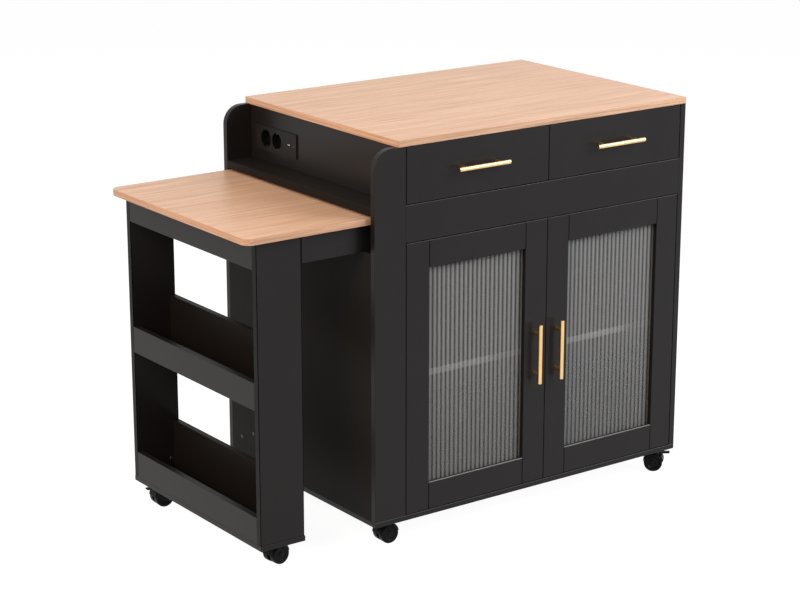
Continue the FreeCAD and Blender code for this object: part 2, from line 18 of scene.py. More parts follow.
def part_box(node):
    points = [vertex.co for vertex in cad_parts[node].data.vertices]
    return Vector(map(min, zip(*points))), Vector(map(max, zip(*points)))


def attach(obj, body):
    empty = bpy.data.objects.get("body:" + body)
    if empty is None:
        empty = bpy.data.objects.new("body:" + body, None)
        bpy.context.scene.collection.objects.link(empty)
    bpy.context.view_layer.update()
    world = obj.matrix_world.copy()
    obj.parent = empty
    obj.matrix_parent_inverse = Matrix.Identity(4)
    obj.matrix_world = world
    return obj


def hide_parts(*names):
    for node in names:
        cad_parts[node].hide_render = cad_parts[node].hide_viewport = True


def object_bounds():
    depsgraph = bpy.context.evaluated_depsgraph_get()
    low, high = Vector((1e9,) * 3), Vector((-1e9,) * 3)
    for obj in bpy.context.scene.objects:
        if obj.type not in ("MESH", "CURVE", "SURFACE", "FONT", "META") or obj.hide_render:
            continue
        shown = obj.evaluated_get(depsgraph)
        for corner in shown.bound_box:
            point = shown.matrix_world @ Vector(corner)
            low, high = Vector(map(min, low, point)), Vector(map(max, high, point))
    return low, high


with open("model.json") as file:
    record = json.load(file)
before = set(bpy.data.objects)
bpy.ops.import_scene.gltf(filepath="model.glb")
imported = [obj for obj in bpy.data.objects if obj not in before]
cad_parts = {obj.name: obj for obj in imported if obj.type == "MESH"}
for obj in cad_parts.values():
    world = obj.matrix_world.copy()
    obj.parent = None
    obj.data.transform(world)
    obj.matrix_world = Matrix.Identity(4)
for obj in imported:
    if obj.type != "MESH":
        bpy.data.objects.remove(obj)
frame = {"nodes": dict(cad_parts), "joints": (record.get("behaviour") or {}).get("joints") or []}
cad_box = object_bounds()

log = logging.getLogger("kitchen_island")

MM = 0.001
ALONG = Vector((1, 0, 0))
UP = Vector((0, 0, 1))
WHITE = "#ffffff"
BLACK = "#000000"
WELD_GAP = 0.001

Colour = tuple[float, float, float, float]


def linear(hex_colour: str) -> Colour:
    """Turns an sRGB colour to the linear values that a shader takes.

    Args:
        hex_colour: the colour as #rrggbb.

    Returns:
        Red, green, blue and an alpha of 1.
    """
    values = [int(hex_colour[k:k + 2], 16) / 255 for k in (1, 3, 5)]
    red, green, blue = [v / 12.92 if v <= 0.04045 else ((v + 0.055) / 1.055) ** 2.4 for v in values]
    return red, green, blue, 1.0


def per_size(*sizes: float) -> Vector:
    """Turns the size of a pattern's features along X, Y and Z to the scale of a Mapping node.

    Args:
        sizes: three sizes in millimetres.

    Returns:
        How many features there are in a metre along each axis.
    """
    return Vector([1 / (size * MM) for size in sizes])


def add_node(
    tree: bpy.types.NodeTree,
    kind: str,
    settings: dict[str | int, object] | None = None,
    links: dict[str | int, bpy.types.NodeSocket] | None = None,
) -> bpy.types.Node:
    """Adds one shader node.

    Args:
        tree: the material's or the world's node tree.
        kind: Blender's name of the node's type.
        settings: values of its input sockets, by name or number, and of its own properties.
        links: what feeds its input sockets, by name or number.

    Returns:
        The new node.
    """
    node = tree.nodes.new(kind)
    for name, value in (settings or {}).items():
        if isinstance(name, int) or name in node.inputs:
            node.inputs[name].default_value = value
        else:
            setattr(node, name, value)
    for name, source in (links or {}).items():
        tree.links.new(source, node.inputs[name])
    return node


def seen_rays(tree: bpy.types.NodeTree) -> bpy.types.NodeSocket:
    """Gives 1 where the eye, a reflection or the view through glass meets a backdrop, and 0 elsewhere.

    Args:
        tree: the backdrop's node tree.

    Returns:
        The socket with that value.
    """
    path = add_node(tree, "ShaderNodeLightPath")
    direct = add_node(
        tree,
        "ShaderNodeMath",
        {"operation": "MAXIMUM"},
        {0: path.outputs["Is Camera Ray"], 1: path.outputs["Is Glossy Ray"]},
    )
    either = add_node(
        tree,
        "ShaderNodeMath",
        {"operation": "MAXIMUM"},
        {0: direct.outputs[0], 1: path.outputs["Is Transmission Ray"]},
    )
    return either.outputs[0]


class Slot(Enum):
    """Material slots of the record that the pieces made here take their finish from."""

    BLACK = "black_laminate"
    NICKEL = "nickel_steel"
    ZINC = "zinc_steel"
    SOCKET = "socket_plastic"
    CASTER = "caster_plastic"
    WHEEL = "caster_wheel_plastic"


class Side(Enum):
    """The two ends of the front."""

    LEFT = "left"
    RIGHT = "right"


@dataclass(frozen=True)
class Finish:
    """One surface finish. Its material is made once and shared by the pieces that have it."""

    name: str

    def material(self) -> bpy.types.Material:
        """Gives the finish's material, and makes it on the first call.

        Returns:
            The material, which all pieces with this finish share.
        """
        found = bpy.data.materials.get(self.name)
        if found is None:
            found = bpy.data.materials.new(self.name)
            found.use_nodes = True
            tree = found.node_tree
            self.wire(tree, tree.nodes["Principled BSDF"])
        return found

    def wire(self, tree: bpy.types.NodeTree, shader: bpy.types.Node) -> None:
        """Sets the shader and links its pattern nodes.

        Args:
            tree: the material's node tree.
            shader: its Principled shader.
        """
        raise NotImplementedError


@dataclass(frozen=True)
class PressedMelamine(Finish):
    """Melamine paper pressed on particle board against a pearl plate: matt, even, faintly cloudy.

    A dyed paper this dark shows mostly what its resin mirrors, so its mirror share is set per finish.
    """

    dark: str = "#181616"
    light: str = "#201e1e"
    roughness: float = 0.36
    gloss_spread: float = 0.06
    cloud: float = 190.0
    pearl: float = 2.2
    pearl_depth: float = 0.03
    bump_strength: float = 0.5
    specular: float = 0.19

    def wire(self, tree: bpy.types.NodeTree, shader: bpy.types.Node) -> None:
        """Mixes two near blacks by a slow cloud. The pearl is drawn at twice its real pitch, to show.

        Args:
            tree: the material's node tree.
            shader: its Principled shader.
        """
        place = add_node(tree, "ShaderNodeTexCoord").outputs["Object"]
        cloud_size = per_size(*[self.cloud] * 3)
        cloud_place = add_node(tree, "ShaderNodeMapping", {"Scale": cloud_size}, {"Vector": place})
        cloud = add_node(
            tree,
            "ShaderNodeTexNoise",
            {"Scale": 1.0, "Detail": 4.0, "Roughness": 0.6},
            {"Vector": cloud_place.outputs["Vector"]},
        )
        pearl_size = per_size(*[self.pearl] * 3)
        pearl_place = add_node(tree, "ShaderNodeMapping", {"Scale": pearl_size}, {"Vector": place})
        pearl = add_node(
            tree,
            "ShaderNodeTexNoise",
            {"Scale": 1.0, "Detail": 2.0, "Roughness": 0.5},
            {"Vector": pearl_place.outputs["Vector"]},
        )
        colour = add_node(
            tree,
            "ShaderNodeMix",
            {"data_type": "RGBA", 6: linear(self.dark), 7: linear(self.light)},
            {0: cloud.outputs["Fac"]},
        )
        gloss = add_node(
            tree,
            "ShaderNodeMapRange",
            {"To Min": self.roughness - self.gloss_spread, "To Max": self.roughness + self.gloss_spread},
            {"Value": cloud.outputs["Fac"]},
        )
        shader.inputs["Specular IOR Level"].default_value = self.specular
        bump = add_node(
            tree,
            "ShaderNodeBump",
            {"Strength": self.bump_strength, "Distance": self.pearl_depth * MM},
            {"Height": pearl.outputs["Fac"]},
        )
        tree.links.new(self.marked(tree, shader, place, colour.outputs[2]), shader.inputs["Base Color"])
        tree.links.new(gloss.outputs["Result"], shader.inputs["Roughness"])
        tree.links.new(bump.outputs["Normal"], shader.inputs["Normal"])

    def marked(
        self,
        tree: bpy.types.NodeTree,
        shader: bpy.types.Node,
        place: bpy.types.NodeSocket,
        colour: bpy.types.NodeSocket,
    ) -> bpy.types.NodeSocket:
        """Gives the colour as it is. A finish with lines on it draws them here."""
        return colour


@dataclass(frozen=True)
class FramedMelamine(PressedMelamine):
    """The same melamine with dark lines of painted shade where two boards meet, as the rails and stiles of
    a door do.
    """

    middle: tuple[float, float] = (0.0, 0.0)
    half: tuple[float, float] = (0.0, 0.0)
    line_width: float = 2.2
    # Colour of the painted shade in the joints.
    joint_shade_colour: str = "#060606"

    def marked(
        self,
        tree: bpy.types.NodeTree,
        shader: bpy.types.Node,
        place: bpy.types.NodeSocket,
        colour: bpy.types.NodeSocket,
    ) -> bpy.types.NodeSocket:
        """Paints shade on the joints that stand half a width from the middle and lie beyond half a height.

        The lines stand for the shaded gap in each joint and are drawn wider than it, so that they show.
        Metallic takes the mirror light off them.

        Args:
            tree: the material's node tree.
            shader: its Principled shader.
            place: the point on the piece, in metres.
            colour: the melamine's own colour.

        Returns:
            The colour with the lines drawn on it.
        """
        parts = add_node(tree, "ShaderNodeSeparateXYZ", links={"Vector": place})
        distances = []
        for axis, middle, half in zip("XZ", self.middle, self.half):
            offset = add_node(
                tree, "ShaderNodeMath", {"operation": "SUBTRACT", 1: middle * MM}, {0: parts.outputs[axis]}
            )
            size = add_node(tree, "ShaderNodeMath", {"operation": "ABSOLUTE"}, {0: offset.outputs[0]})
            past = add_node(
                tree, "ShaderNodeMath", {"operation": "SUBTRACT", 1: half * MM}, {0: size.outputs[0]}
            )
            distances.append(past.outputs[0])
        on_line = add_node(
            tree,
            "ShaderNodeMath",
            {"operation": "COMPARE", 1: 0.0, 2: self.line_width / 2 * MM},
            {0: distances[0]},
        )
        beyond = add_node(tree, "ShaderNodeMath", {"operation": "GREATER_THAN", 1: 0.0}, {0: distances[1]})
        share = add_node(
            tree, "ShaderNodeMath", {"operation": "MULTIPLY"}, {0: on_line.outputs[0], 1: beyond.outputs[0]}
        )
        lined = add_node(
            tree,
            "ShaderNodeMix",
            {"data_type": "RGBA", 7: linear(self.joint_shade_colour)},
            {0: share.outputs[0], 6: colour},
        )
        tree.links.new(share.outputs[0], shader.inputs["Metallic"])
        return lined.outputs[2]


@dataclass(frozen=True)
class OakDecor(Finish):
    """Oak-print melamine with an oak-print edge band: long soft figure, fine fibre, short pores."""

    pale: str = "#e5be9f"
    deep: str = "#d6aa88"
    band_pale: str = "#e9c2a2"
    band_deep: str = "#e1b28e"
    fibre_shade: str = "#b58460"
    pore_shade: str = "#8a5d3a"
    figure: tuple[float, float] = (900.0, 20.0)
    fibre: tuple[float, float] = (190.0, 3.6)
    pore: tuple[float, float] = (26.0, 1.6)
    figure_span: tuple[float, float] = (0.32, 0.68)
    fibre_span: tuple[float, float] = (0.44, 0.74)
    fibre_strength: float = 0.9
    pore_span: tuple[float, float] = (0.58, 0.72)
    pore_strength: float = 0.45
    end_facing: float = 0.75
    band_facing: float = 0.6
    roughness: float = 0.38
    gloss_fall: float = 0.05
    gloss_rise: float = 0.08
    pore_depth: float = 0.04
    bump_strength: float = 0.4

    def wire(self, tree: bpy.types.NodeTree, shader: bpy.types.Node) -> None:
        """Lays the grain along X on the faces and along the edge on the bands.

        The figure is 20 mm wide and 900 mm long, the fibre 3.6 mm wide and 190 mm long. The pores are
        26 mm long and drawn 1.6 mm wide, some four times their real width, so that they show. Each
        pattern's span is the part of its noise, from 0 to 1, over which it comes in.

        Args:
            tree: the material's node tree.
            shader: its Principled shader.
        """
        coordinates = add_node(tree, "ShaderNodeTexCoord")
        place = add_node(tree, "ShaderNodeSeparateXYZ", links={"Vector": coordinates.outputs["Object"]})
        normal = add_node(tree, "ShaderNodeSeparateXYZ", links={"Vector": coordinates.outputs["Normal"]})
        swapped = add_node(
            tree,
            "ShaderNodeCombineXYZ",
            links={"X": place.outputs["Y"], "Y": place.outputs["X"], "Z": place.outputs["Z"]},
        )
        sideways = add_node(tree, "ShaderNodeMath", {"operation": "ABSOLUTE"}, {0: normal.outputs["X"]})
        is_end = add_node(
            tree,
            "ShaderNodeMath",
            {"operation": "GREATER_THAN", 1: self.end_facing},
            {0: sideways.outputs[0]},
        )
        upright = add_node(tree, "ShaderNodeMath", {"operation": "ABSOLUTE"}, {0: normal.outputs["Z"]})
        is_band = add_node(
            tree, "ShaderNodeMath", {"operation": "LESS_THAN", 1: self.band_facing}, {0: upright.outputs[0]}
        )
        along = add_node(
            tree,
            "ShaderNodeMix",
            {"data_type": "VECTOR"},
            {0: is_end.outputs[0], 4: coordinates.outputs["Object"], 5: swapped.outputs["Vector"]},
        )
        noises = []
        for length, width in (self.figure, self.fibre, self.pore):
            scaled = add_node(
                tree,
                "ShaderNodeMapping",
                {"Scale": per_size(length, width, width)},
                {"Vector": along.outputs[1]},
            )
            noise = add_node(
                tree,
                "ShaderNodeTexNoise",
                {"Scale": 1.0, "Detail": 5.0, "Roughness": 0.55, "Distortion": 0.35},
                {"Vector": scaled.outputs["Vector"]},
            )
            noises.append(noise.outputs["Fac"])
        figure, fibre, pore = noises
        spread = add_node(
            tree,
            "ShaderNodeMapRange",
            {"From Min": self.figure_span[0], "From Max": self.figure_span[1]},
            {"Value": figure},
        )
        face = add_node(
            tree,
            "ShaderNodeMix",
            {"data_type": "RGBA", 6: linear(self.deep), 7: linear(self.pale)},
            {0: spread.outputs["Result"]},
        )
        band = add_node(
            tree,
            "ShaderNodeMix",
            {"data_type": "RGBA", 6: linear(self.band_deep), 7: linear(self.band_pale)},
            {0: spread.outputs["Result"]},
        )
        board = add_node(
            tree,
            "ShaderNodeMix",
            {"data_type": "RGBA"},
            {0: is_band.outputs[0], 6: face.outputs[2], 7: band.outputs[2]},
        )
        fibre_share = add_node(
            tree,
            "ShaderNodeMapRange",
            {
                "From Min": self.fibre_span[0],
                "From Max": self.fibre_span[1],
                "To Max": self.fibre_strength,
            },
            {"Value": fibre},
        )
        with_fibre = add_node(
            tree,
            "ShaderNodeMix",
            {"data_type": "RGBA", 7: linear(self.fibre_shade)},
            {0: fibre_share.outputs["Result"], 6: board.outputs[2]},
        )
        pore_share = add_node(
            tree,
            "ShaderNodeMapRange",
            {"From Min": self.pore_span[0], "From Max": self.pore_span[1], "To Max": self.pore_strength},
            {"Value": pore},
        )
        with_pores = add_node(
            tree,
            "ShaderNodeMix",
            {"data_type": "RGBA", 7: linear(self.pore_shade)},
            {0: pore_share.outputs["Result"], 6: with_fibre.outputs[2]},
        )
        gloss = add_node(
            tree,
            "ShaderNodeMapRange",
            {"To Min": self.roughness - self.gloss_fall, "To Max": self.roughness + self.gloss_rise},
            {"Value": fibre},
        )
        bump = add_node(
            tree,
            "ShaderNodeBump",
            {"Strength": self.bump_strength, "Distance": self.pore_depth * MM, "invert": True},
            {"Height": pore_share.outputs["Result"]},
        )
        tree.links.new(with_pores.outputs[2], shader.inputs["Base Color"])
        tree.links.new(gloss.outputs["Result"], shader.inputs["Roughness"])
        tree.links.new(bump.outputs["Normal"], shader.inputs["Normal"])


@dataclass(frozen=True)
class ReededGlass(Finish):
    """Grey cast glass, rolled to reeds on its front while soft.

    The reeds scatter light, so their crests look milky and their valleys dark, with a dim view of the
    inside. The grey milk is the glass's own; the paler crests and the dark valleys are painted light
    and shade. Slow waves of the cast, some 30 mm wide and 120 mm long, vary the gloss.
    """

    first_valley: float = 0.0
    pitch: float = 12.35
    foot: float = 0.0
    top: float = 500.0
    # The share of the colour left at the pane's foot, under its painted shade.
    painted_shade_foot_share: float = 0.78
    # Pale crests and dark valleys: painted light and shade of the reeds.
    crest_span: tuple[float, float] = (0.02, 0.34)
    crest: str = "#bfc1c0"
    valley: str = "#3f4142"
    roughness: float = 0.3
    gloss_spread: float = 0.03
    wave: tuple[float, float, float] = (30.0, 30.0, 120.0)
    milkiness: float = 0.39
    specular: float = 0.25

    def wire(self, tree: bpy.types.NodeTree, shader: bpy.types.Node) -> None:
        """Paints each reed, pale at its crest and with painted shade in its valleys, by where X falls
        between two valleys, which are one pitch apart.

        The pane's colour is darkened toward its foot: painted shade, where less light reaches it through
        the cupboard.

        Args:
            tree: the material's node tree.
            shader: its Principled shader.
        """
        place = add_node(tree, "ShaderNodeTexCoord").outputs["Object"]
        parts = add_node(tree, "ShaderNodeSeparateXYZ", links={"Vector": place})
        turns = add_node(
            tree,
            "ShaderNodeMath",
            {"operation": "MULTIPLY_ADD", 1: 1 / (self.pitch * MM), 2: -self.first_valley / self.pitch},
            {0: parts.outputs["X"]},
        )
        ramp = add_node(tree, "ShaderNodeMath", {"operation": "PINGPONG", 1: 0.5}, {0: turns.outputs[0]})
        crest = add_node(
            tree,
            "ShaderNodeMapRange",
            {
                "From Min": self.crest_span[0],
                "From Max": self.crest_span[1],
                "interpolation_type": "SMOOTHSTEP",
            },
            {"Value": ramp.outputs[0]},
        )
        wave_place = add_node(tree, "ShaderNodeMapping", {"Scale": per_size(*self.wave)}, {"Vector": place})
        wave = add_node(
            tree, "ShaderNodeTexNoise", {"Scale": 1.0, "Detail": 3.0}, {"Vector": wave_place.outputs[0]}
        )
        # Pale on the crests, painted shade in the valleys.
        colour = add_node(
            tree,
            "ShaderNodeMix",
            {"data_type": "RGBA", 6: linear(self.valley), 7: linear(self.crest)},
            {0: crest.outputs["Result"]},
        )
        # Painted shade, deepening toward the pane's foot.
        tone = add_node(
            tree,
            "ShaderNodeMapRange",
            {"From Min": self.foot * MM, "From Max": self.top * MM, "To Min": self.painted_shade_foot_share},
            {"Value": parts.outputs["Z"]},
        )
        foot_shaded_colour = add_node(
            tree,
            "ShaderNodeMix",
            {"data_type": "RGBA", 6: linear(BLACK)},
            {0: tone.outputs["Result"], 7: colour.outputs[2]},
        )
        gloss = add_node(
            tree,
            "ShaderNodeMapRange",
            {"To Min": self.roughness - self.gloss_spread, "To Max": self.roughness + self.gloss_spread},
            {"Value": wave.outputs["Fac"]},
        )
        shader.inputs["Specular IOR Level"].default_value = self.specular
        shader.inputs["Alpha"].default_value = self.milkiness
        tree.links.new(foot_shaded_colour.outputs[2], shader.inputs["Base Color"])
        tree.links.new(gloss.outputs["Result"], shader.inputs["Roughness"])


@dataclass(frozen=True)
class DrawnMetal(Finish):
    """Brushed or plated metal. Brushing leaves fine lines, which spread the highlight across them."""

    colour: str = "#f2d098"
    shade: str = "#deb476"
    roughness: float = 0.26
    gloss_rise: float = 0.08
    gloss_fall: float = 0.04
    line: tuple[float, float, float] = (0.5, 0.5, 40.0)
    line_span: tuple[float, float] = (0.35, 0.7)
    line_depth: float = 0.012
    bump_strength: float = 0.6
    anisotropic: float = 0.4

    def wire(self, tree: bpy.types.NodeTree, shader: bpy.types.Node) -> None:
        """Draws the pattern coarser than it is, so that it shows.

        The brass has brush lines 0.5 mm apart. Plated parts have an even mottle, 3 to 5 mm across.

        Args:
            tree: the material's node tree.
            shader: its Principled shader.
        """
        place = add_node(tree, "ShaderNodeTexCoord").outputs["Object"]
        line_place = add_node(tree, "ShaderNodeMapping", {"Scale": per_size(*self.line)}, {"Vector": place})
        lines = add_node(
            tree,
            "ShaderNodeTexNoise",
            {"Scale": 1.0, "Detail": 4.0, "Roughness": 0.7},
            {"Vector": line_place.outputs["Vector"]},
        )
        share = add_node(
            tree,
            "ShaderNodeMapRange",
            {"From Min": self.line_span[0], "From Max": self.line_span[1]},
            {"Value": lines.outputs["Fac"]},
        )
        colour = add_node(
            tree,
            "ShaderNodeMix",
            {"data_type": "RGBA", 6: linear(self.shade), 7: linear(self.colour)},
            {0: share.outputs["Result"]},
        )
        gloss = add_node(
            tree,
            "ShaderNodeMapRange",
            {"To Min": self.roughness + self.gloss_rise, "To Max": self.roughness - self.gloss_fall},
            {"Value": lines.outputs["Fac"]},
        )
        bump = add_node(
            tree,
            "ShaderNodeBump",
            {"Strength": self.bump_strength, "Distance": self.line_depth * MM},
            {"Height": lines.outputs["Fac"]},
        )
        shader.inputs["Metallic"].default_value = 1.0
        shader.inputs["Anisotropic"].default_value = self.anisotropic
        tree.links.new(colour.outputs[2], shader.inputs["Base Color"])
        tree.links.new(gloss.outputs["Result"], shader.inputs["Roughness"])
        tree.links.new(bump.outputs["Normal"], shader.inputs["Normal"])


@dataclass(frozen=True)
class MouldedPlastic(Finish):
    """Moulded or extruded plastic: the fine grain of its tool, and slow waves where it cooled."""

    colour: str = "#1a1918"
    worn: str = "#24221f"
    roughness: float = 0.45
    gloss_spread: float = 0.07
    grain: float = 0.9
    grain_depth: float = 0.03
    bump_strength: float = 0.45
    flow: float = 22.0
    specular: float = 0.5

    def wire(self, tree: bpy.types.NodeTree, shader: bpy.types.Node) -> None:
        """Draws the grain about three times as coarse as it is, so that it shows.

        Args:
            tree: the material's node tree.
            shader: its Principled shader.
        """
        shader.inputs["Specular IOR Level"].default_value = self.specular
        place = add_node(tree, "ShaderNodeTexCoord").outputs["Object"]
        grain_size = per_size(*[self.grain] * 3)
        grain_place = add_node(tree, "ShaderNodeMapping", {"Scale": grain_size}, {"Vector": place})
        grain = add_node(
            tree,
            "ShaderNodeTexNoise",
            {"Scale": 1.0, "Detail": 3.0, "Roughness": 0.6},
            {"Vector": grain_place.outputs["Vector"]},
        )
        flow_size = per_size(*[self.flow] * 3)
        flow_place = add_node(tree, "ShaderNodeMapping", {"Scale": flow_size}, {"Vector": place})
        flow = add_node(
            tree,
            "ShaderNodeTexNoise",
            {"Scale": 1.0, "Detail": 2.0},
            {"Vector": flow_place.outputs["Vector"]},
        )
        colour = add_node(
            tree,
            "ShaderNodeMix",
            {"data_type": "RGBA", 6: linear(self.colour), 7: linear(self.worn)},
            {0: flow.outputs["Fac"]},
        )
        gloss = add_node(
            tree,
            "ShaderNodeMapRange",
            {"To Min": self.roughness - self.gloss_spread, "To Max": self.roughness + self.gloss_spread},
            {"Value": flow.outputs["Fac"]},
        )
        bump = add_node(
            tree,
            "ShaderNodeBump",
            {"Strength": self.bump_strength, "Distance": self.grain_depth * MM},
            {"Height": grain.outputs["Fac"]},
        )
        tree.links.new(colour.outputs[2], shader.inputs["Base Color"])
        tree.links.new(gloss.outputs["Result"], shader.inputs["Roughness"])
        tree.links.new(bump.outputs["Normal"], shader.inputs["Normal"])


# Fronts, stiles, rails and most boards that show: the better melamine, with a soft sheen at a slant.
BLACK_MELAMINE = PressedMelamine("black_melamine")
# Left end and inner boards: a plainer melamine pressed against a matt plate, which mirrors almost nothing.
CARCASS_MELAMINE = PressedMelamine(
    "dull_black_carcass_melamine", dark="#171412", light="#201d1a", roughness=0.44, specular=0.05
)
# Worktop and side table: printed paper under clear resin, satin, with the warm tone of oiled oak.
OAK_MELAMINE = OakDecor("oak_melamine")
# Drawer boxes: graphite melamine on thin board, pressed against a finer, duller plate.
DRAWER_MELAMINE = PressedMelamine(
    "graphite_drawer_melamine", dark="#2b2a29", light="#343332", roughness=0.55, cloud=60.0, pearl=1.4
)
# Front edge of the inner shelf: an ABS band in a pale colour, a painted highlight for the shelf edge lit
# behind the panes, so that it shows through them.
SHELF_EDGE_HIGHLIGHT = MouldedPlastic(
    "shelf_edge_painted_highlight", colour="#e2e0dc", worn="#eceae6", roughness=0.4, grain=1.2, grain_depth=0.02
)
# Upper front arris of a black board: a grey strip, a painted highlight where the trimmed edge band catches
# light.
ARRIS_HIGHLIGHT = MouldedPlastic(
    "painted_arris_highlight", colour="#49494a", worn="#535354", roughness=0.35, grain=1.2
)
# Strip on the ledge below each pane: a light grey bead, even and half matt, a painted highlight of the
# ledge's lit front edge, drawn as one light line.
LEDGE_HIGHLIGHT = MouldedPlastic(
    "grey_glazing_strip", colour="#949595", worn="#a0a1a1", roughness=0.4, grain=1.5
)
# Handles: zinc bar, brass plated and brushed along its length, which spreads the highlight across it.
UPRIGHT_BRASS = DrawnMetal("brushed_brass_upright")
LEVEL_BRASS = DrawnMetal("brushed_brass_level", line=(40.0, 0.5, 0.5))
# Hinges, earth clips and the leg's cam caps: steel with bright nickel, smooth and slightly yellow.
NICKEL_PLATE = DrawnMetal(
    "nickel_plated_steel",
    colour="#c9c7c1",
    shade="#aaa8a2",
    roughness=0.24,
    line=(3.0, 3.0, 3.0),
    anisotropic=0.0,
)
# End panel's cam caps and the strip's screws: dark steel with a soft glint. On the caps, a darker copy of
# the leg caps' nickel, the dark is painted shade.
DARK_STEEL_AND_SHADE = DrawnMetal(
    "dark_steel_and_painted_shade",
    colour="#5f5c58",
    shade="#44413e",
    roughness=0.42,
    line=(3.0, 3.0, 3.0),
    anisotropic=0.0,
)
# Screws, runners, pins and caster plates: blue-passivated zinc, cold grey with a faint spangle.
ZINC_PLATE = DrawnMetal(
    "zinc_plated_steel",
    colour="#b4b9bd",
    shade="#92989d",
    roughness=0.38,
    line=(5.0, 5.0, 5.0),
    anisotropic=0.0,
)
# Face of the power strip: moulded ABS with a fine spark-eroded grain, nearly matt.
STRIP_ABS = MouldedPlastic(
    "black_abs_strip_housing", colour="#1d1b1a", worn="#242220", roughness=0.48, specular=0.15
)
# Socket wells: moulded polycarbonate, deeper black and smoother than the face round them.
SOCKET_PLASTIC = MouldedPlastic(
    "black_polycarbonate_sockets",
    colour="#0d0d0d",
    worn="#121212",
    roughness=0.3,
    grain=1.5,
    grain_depth=0.01,
    specular=0.2,
)
# Tongue of the charging port: moulded white nylon, a small bright fleck in the slot.
PORT_TONGUE = MouldedPlastic(
    "white_nylon_port_tongue", colour="#e8ecec", worn="#f2f4f4", roughness=0.35, grain=0.6, grain_depth=0.01
)
# Caster hoods, levers and glass clips: moulded nylon, black, with little sheen.
CASTER_NYLON = MouldedPlastic(
    "black_nylon_caster_hood", colour="#0b0b0b", worn="#111110", roughness=0.44, specular=0.08
)
# Wheels: the same nylon, polished a little by rolling.
WHEEL_NYLON = MouldedPlastic(
    "black_nylon_caster_wheel", colour="#0a0a0b", worn="#111112", roughness=0.36, grain=1.2, specular=0.1
)


def dress(finish: Finish, *nodes: str) -> None:
    """Gives CAD nodes one finish.

    Args:
        finish: the finish.
        nodes: names of the nodes.
    """
    for node in nodes:
        mesh = frame["nodes"][node].data
        mesh.materials.clear()
        mesh.materials.append(finish.material())
        log.info("dressed %s in %s", node, finish.name)


def add_piece(
    name: str,
    shape: bmesh.types.BMesh,
    finish: Finish,
    body: str,
    replaced: Sequence[str] = (),
    crease: float = 32.0,
) -> None:
    """Makes an object of a finished mesh and sets it on its body.

    Args:
        name: the piece's name.
        shape: its mesh, in metres and in place. It is freed.
        finish: its finish.
        body: the body that it rides on.
        replaced: CAD nodes that it stands for.
        crease: edges sharper than this many degrees stay sharp.
    """
    bmesh.ops.recalc_face_normals(shape, faces=shape.faces)
    mesh = bpy.data.meshes.new(name)
    shape.to_mesh(mesh)
    shape.free()
    mesh.shade_smooth()
    mesh.set_sharp_from_angle(angle=math.radians(crease))
    mesh.materials.append(finish.material())
    piece = bpy.data.objects.new(name, mesh)
    bpy.context.scene.collection.objects.link(piece)
    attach(piece, body)
    if replaced:
        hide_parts(*replaced)
    log.info("made %s on %s: %d faces", name, body, len(mesh.polygons))


def stamp(target: bmesh.types.BMesh, shape: bmesh.types.BMesh, places: Iterable[Matrix]) -> None:
    """Copies a small shape into a mesh at each of several places.

    Args:
        target: the mesh that receives the copies.
        shape: the small shape, about its own origin. It is freed.
        places: where each copy goes.
    """
    pattern = bpy.data.meshes.new("pattern")
    shape.to_mesh(pattern)
    shape.free()
    for place in places:
        count = len(target.verts)
        target.from_mesh(pattern)
        target.verts.ensure_lookup_table()
        bmesh.ops.transform(target, matrix=place, verts=target.verts[count:])
    bpy.data.meshes.remove(pattern)


def facing(point: Sequence[float], normal: Sequence[float], spin: float = 0.0) -> Matrix:
    """Places a shape that was made on the XY plane on a face.

    Args:
        point: where its origin goes, in millimetres.
        normal: the way that its Z axis then points.
        spin: how far it is turned about that axis first, in degrees.

    Returns:
        The transform, in metres.
    """
    turn = Vector(normal).to_track_quat("Z", "Y").to_matrix().to_4x4()
    return Matrix.Translation(Vector(point) * MM) @ turn @ Matrix.Rotation(math.radians(spin), 4, "Z")


def corners(node: str) -> tuple[Vector, Vector]:
    """Gives the lowest and highest corner of a CAD node in millimetres."""
    low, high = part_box(node)
    return low / MM, high / MM


def round_edges(shape: bmesh.types.BMesh, edges: Sequence[bmesh.types.BMEdge], radius: float) -> None:
    """Rounds some edges of a mesh in two steps.

    Args:
        shape: the mesh.
        edges: the edges.
        radius: how much is taken off them, in millimetres.
    """
    bmesh.ops.bevel(
        shape,
        geom=edges,
        offset=radius * MM,
        offset_type="OFFSET",
        affect="EDGES",
        segments=2,
        profile=0.5,
        material=-1,
    )


def eased_block(low: Sequence[float], high: Sequence[float], ease: float) -> bmesh.types.BMesh:
    """Makes a small block with rounded edges.

    Args:
        low: its lowest corner, in millimetres.
        high: its highest corner, in millimetres.
        ease: the radius of its edges, in millimetres.

    Returns:
        The mesh, in metres and in place.
    """
    shape = bmesh.new()
    bmesh.ops.create_cube(shape, size=1.0)
    size = (Vector(high) - Vector(low)) * MM
    middle = (Vector(high) + Vector(low)) / 2 * MM
    bmesh.ops.scale(shape, vec=size, verts=shape.verts)
    bmesh.ops.translate(shape, vec=middle, verts=shape.verts)
    round_edges(shape, shape.edges[:], ease)
    return shape


def turned(outline: Sequence[tuple[float, float]], steps: int) -> bmesh.types.BMesh:
    """Turns an outline about the Z axis, as on a lathe.

    Args:
        outline: radius and height of each point, in millimetres, from one end to the other.
        steps: how many steps a full turn has.

    Returns:
        The closed mesh, in metres.
    """
    shape = bmesh.new()
    points = [shape.verts.new((radius * MM, 0, height * MM)) for radius, height in outline]
    for start, end in zip(points, points[1:]):
        shape.edges.new((start, end))
    bmesh.ops.spin(
        shape,
        geom=shape.verts[:] + shape.edges[:],
        cent=(0, 0, 0),
        axis=UP,
        dvec=(0, 0, 0),
        angle=math.tau,
        steps=steps,
        use_merge=True,
    )
    bmesh.ops.remove_doubles(shape, verts=shape.verts, dist=WELD_GAP * MM)
    return shape


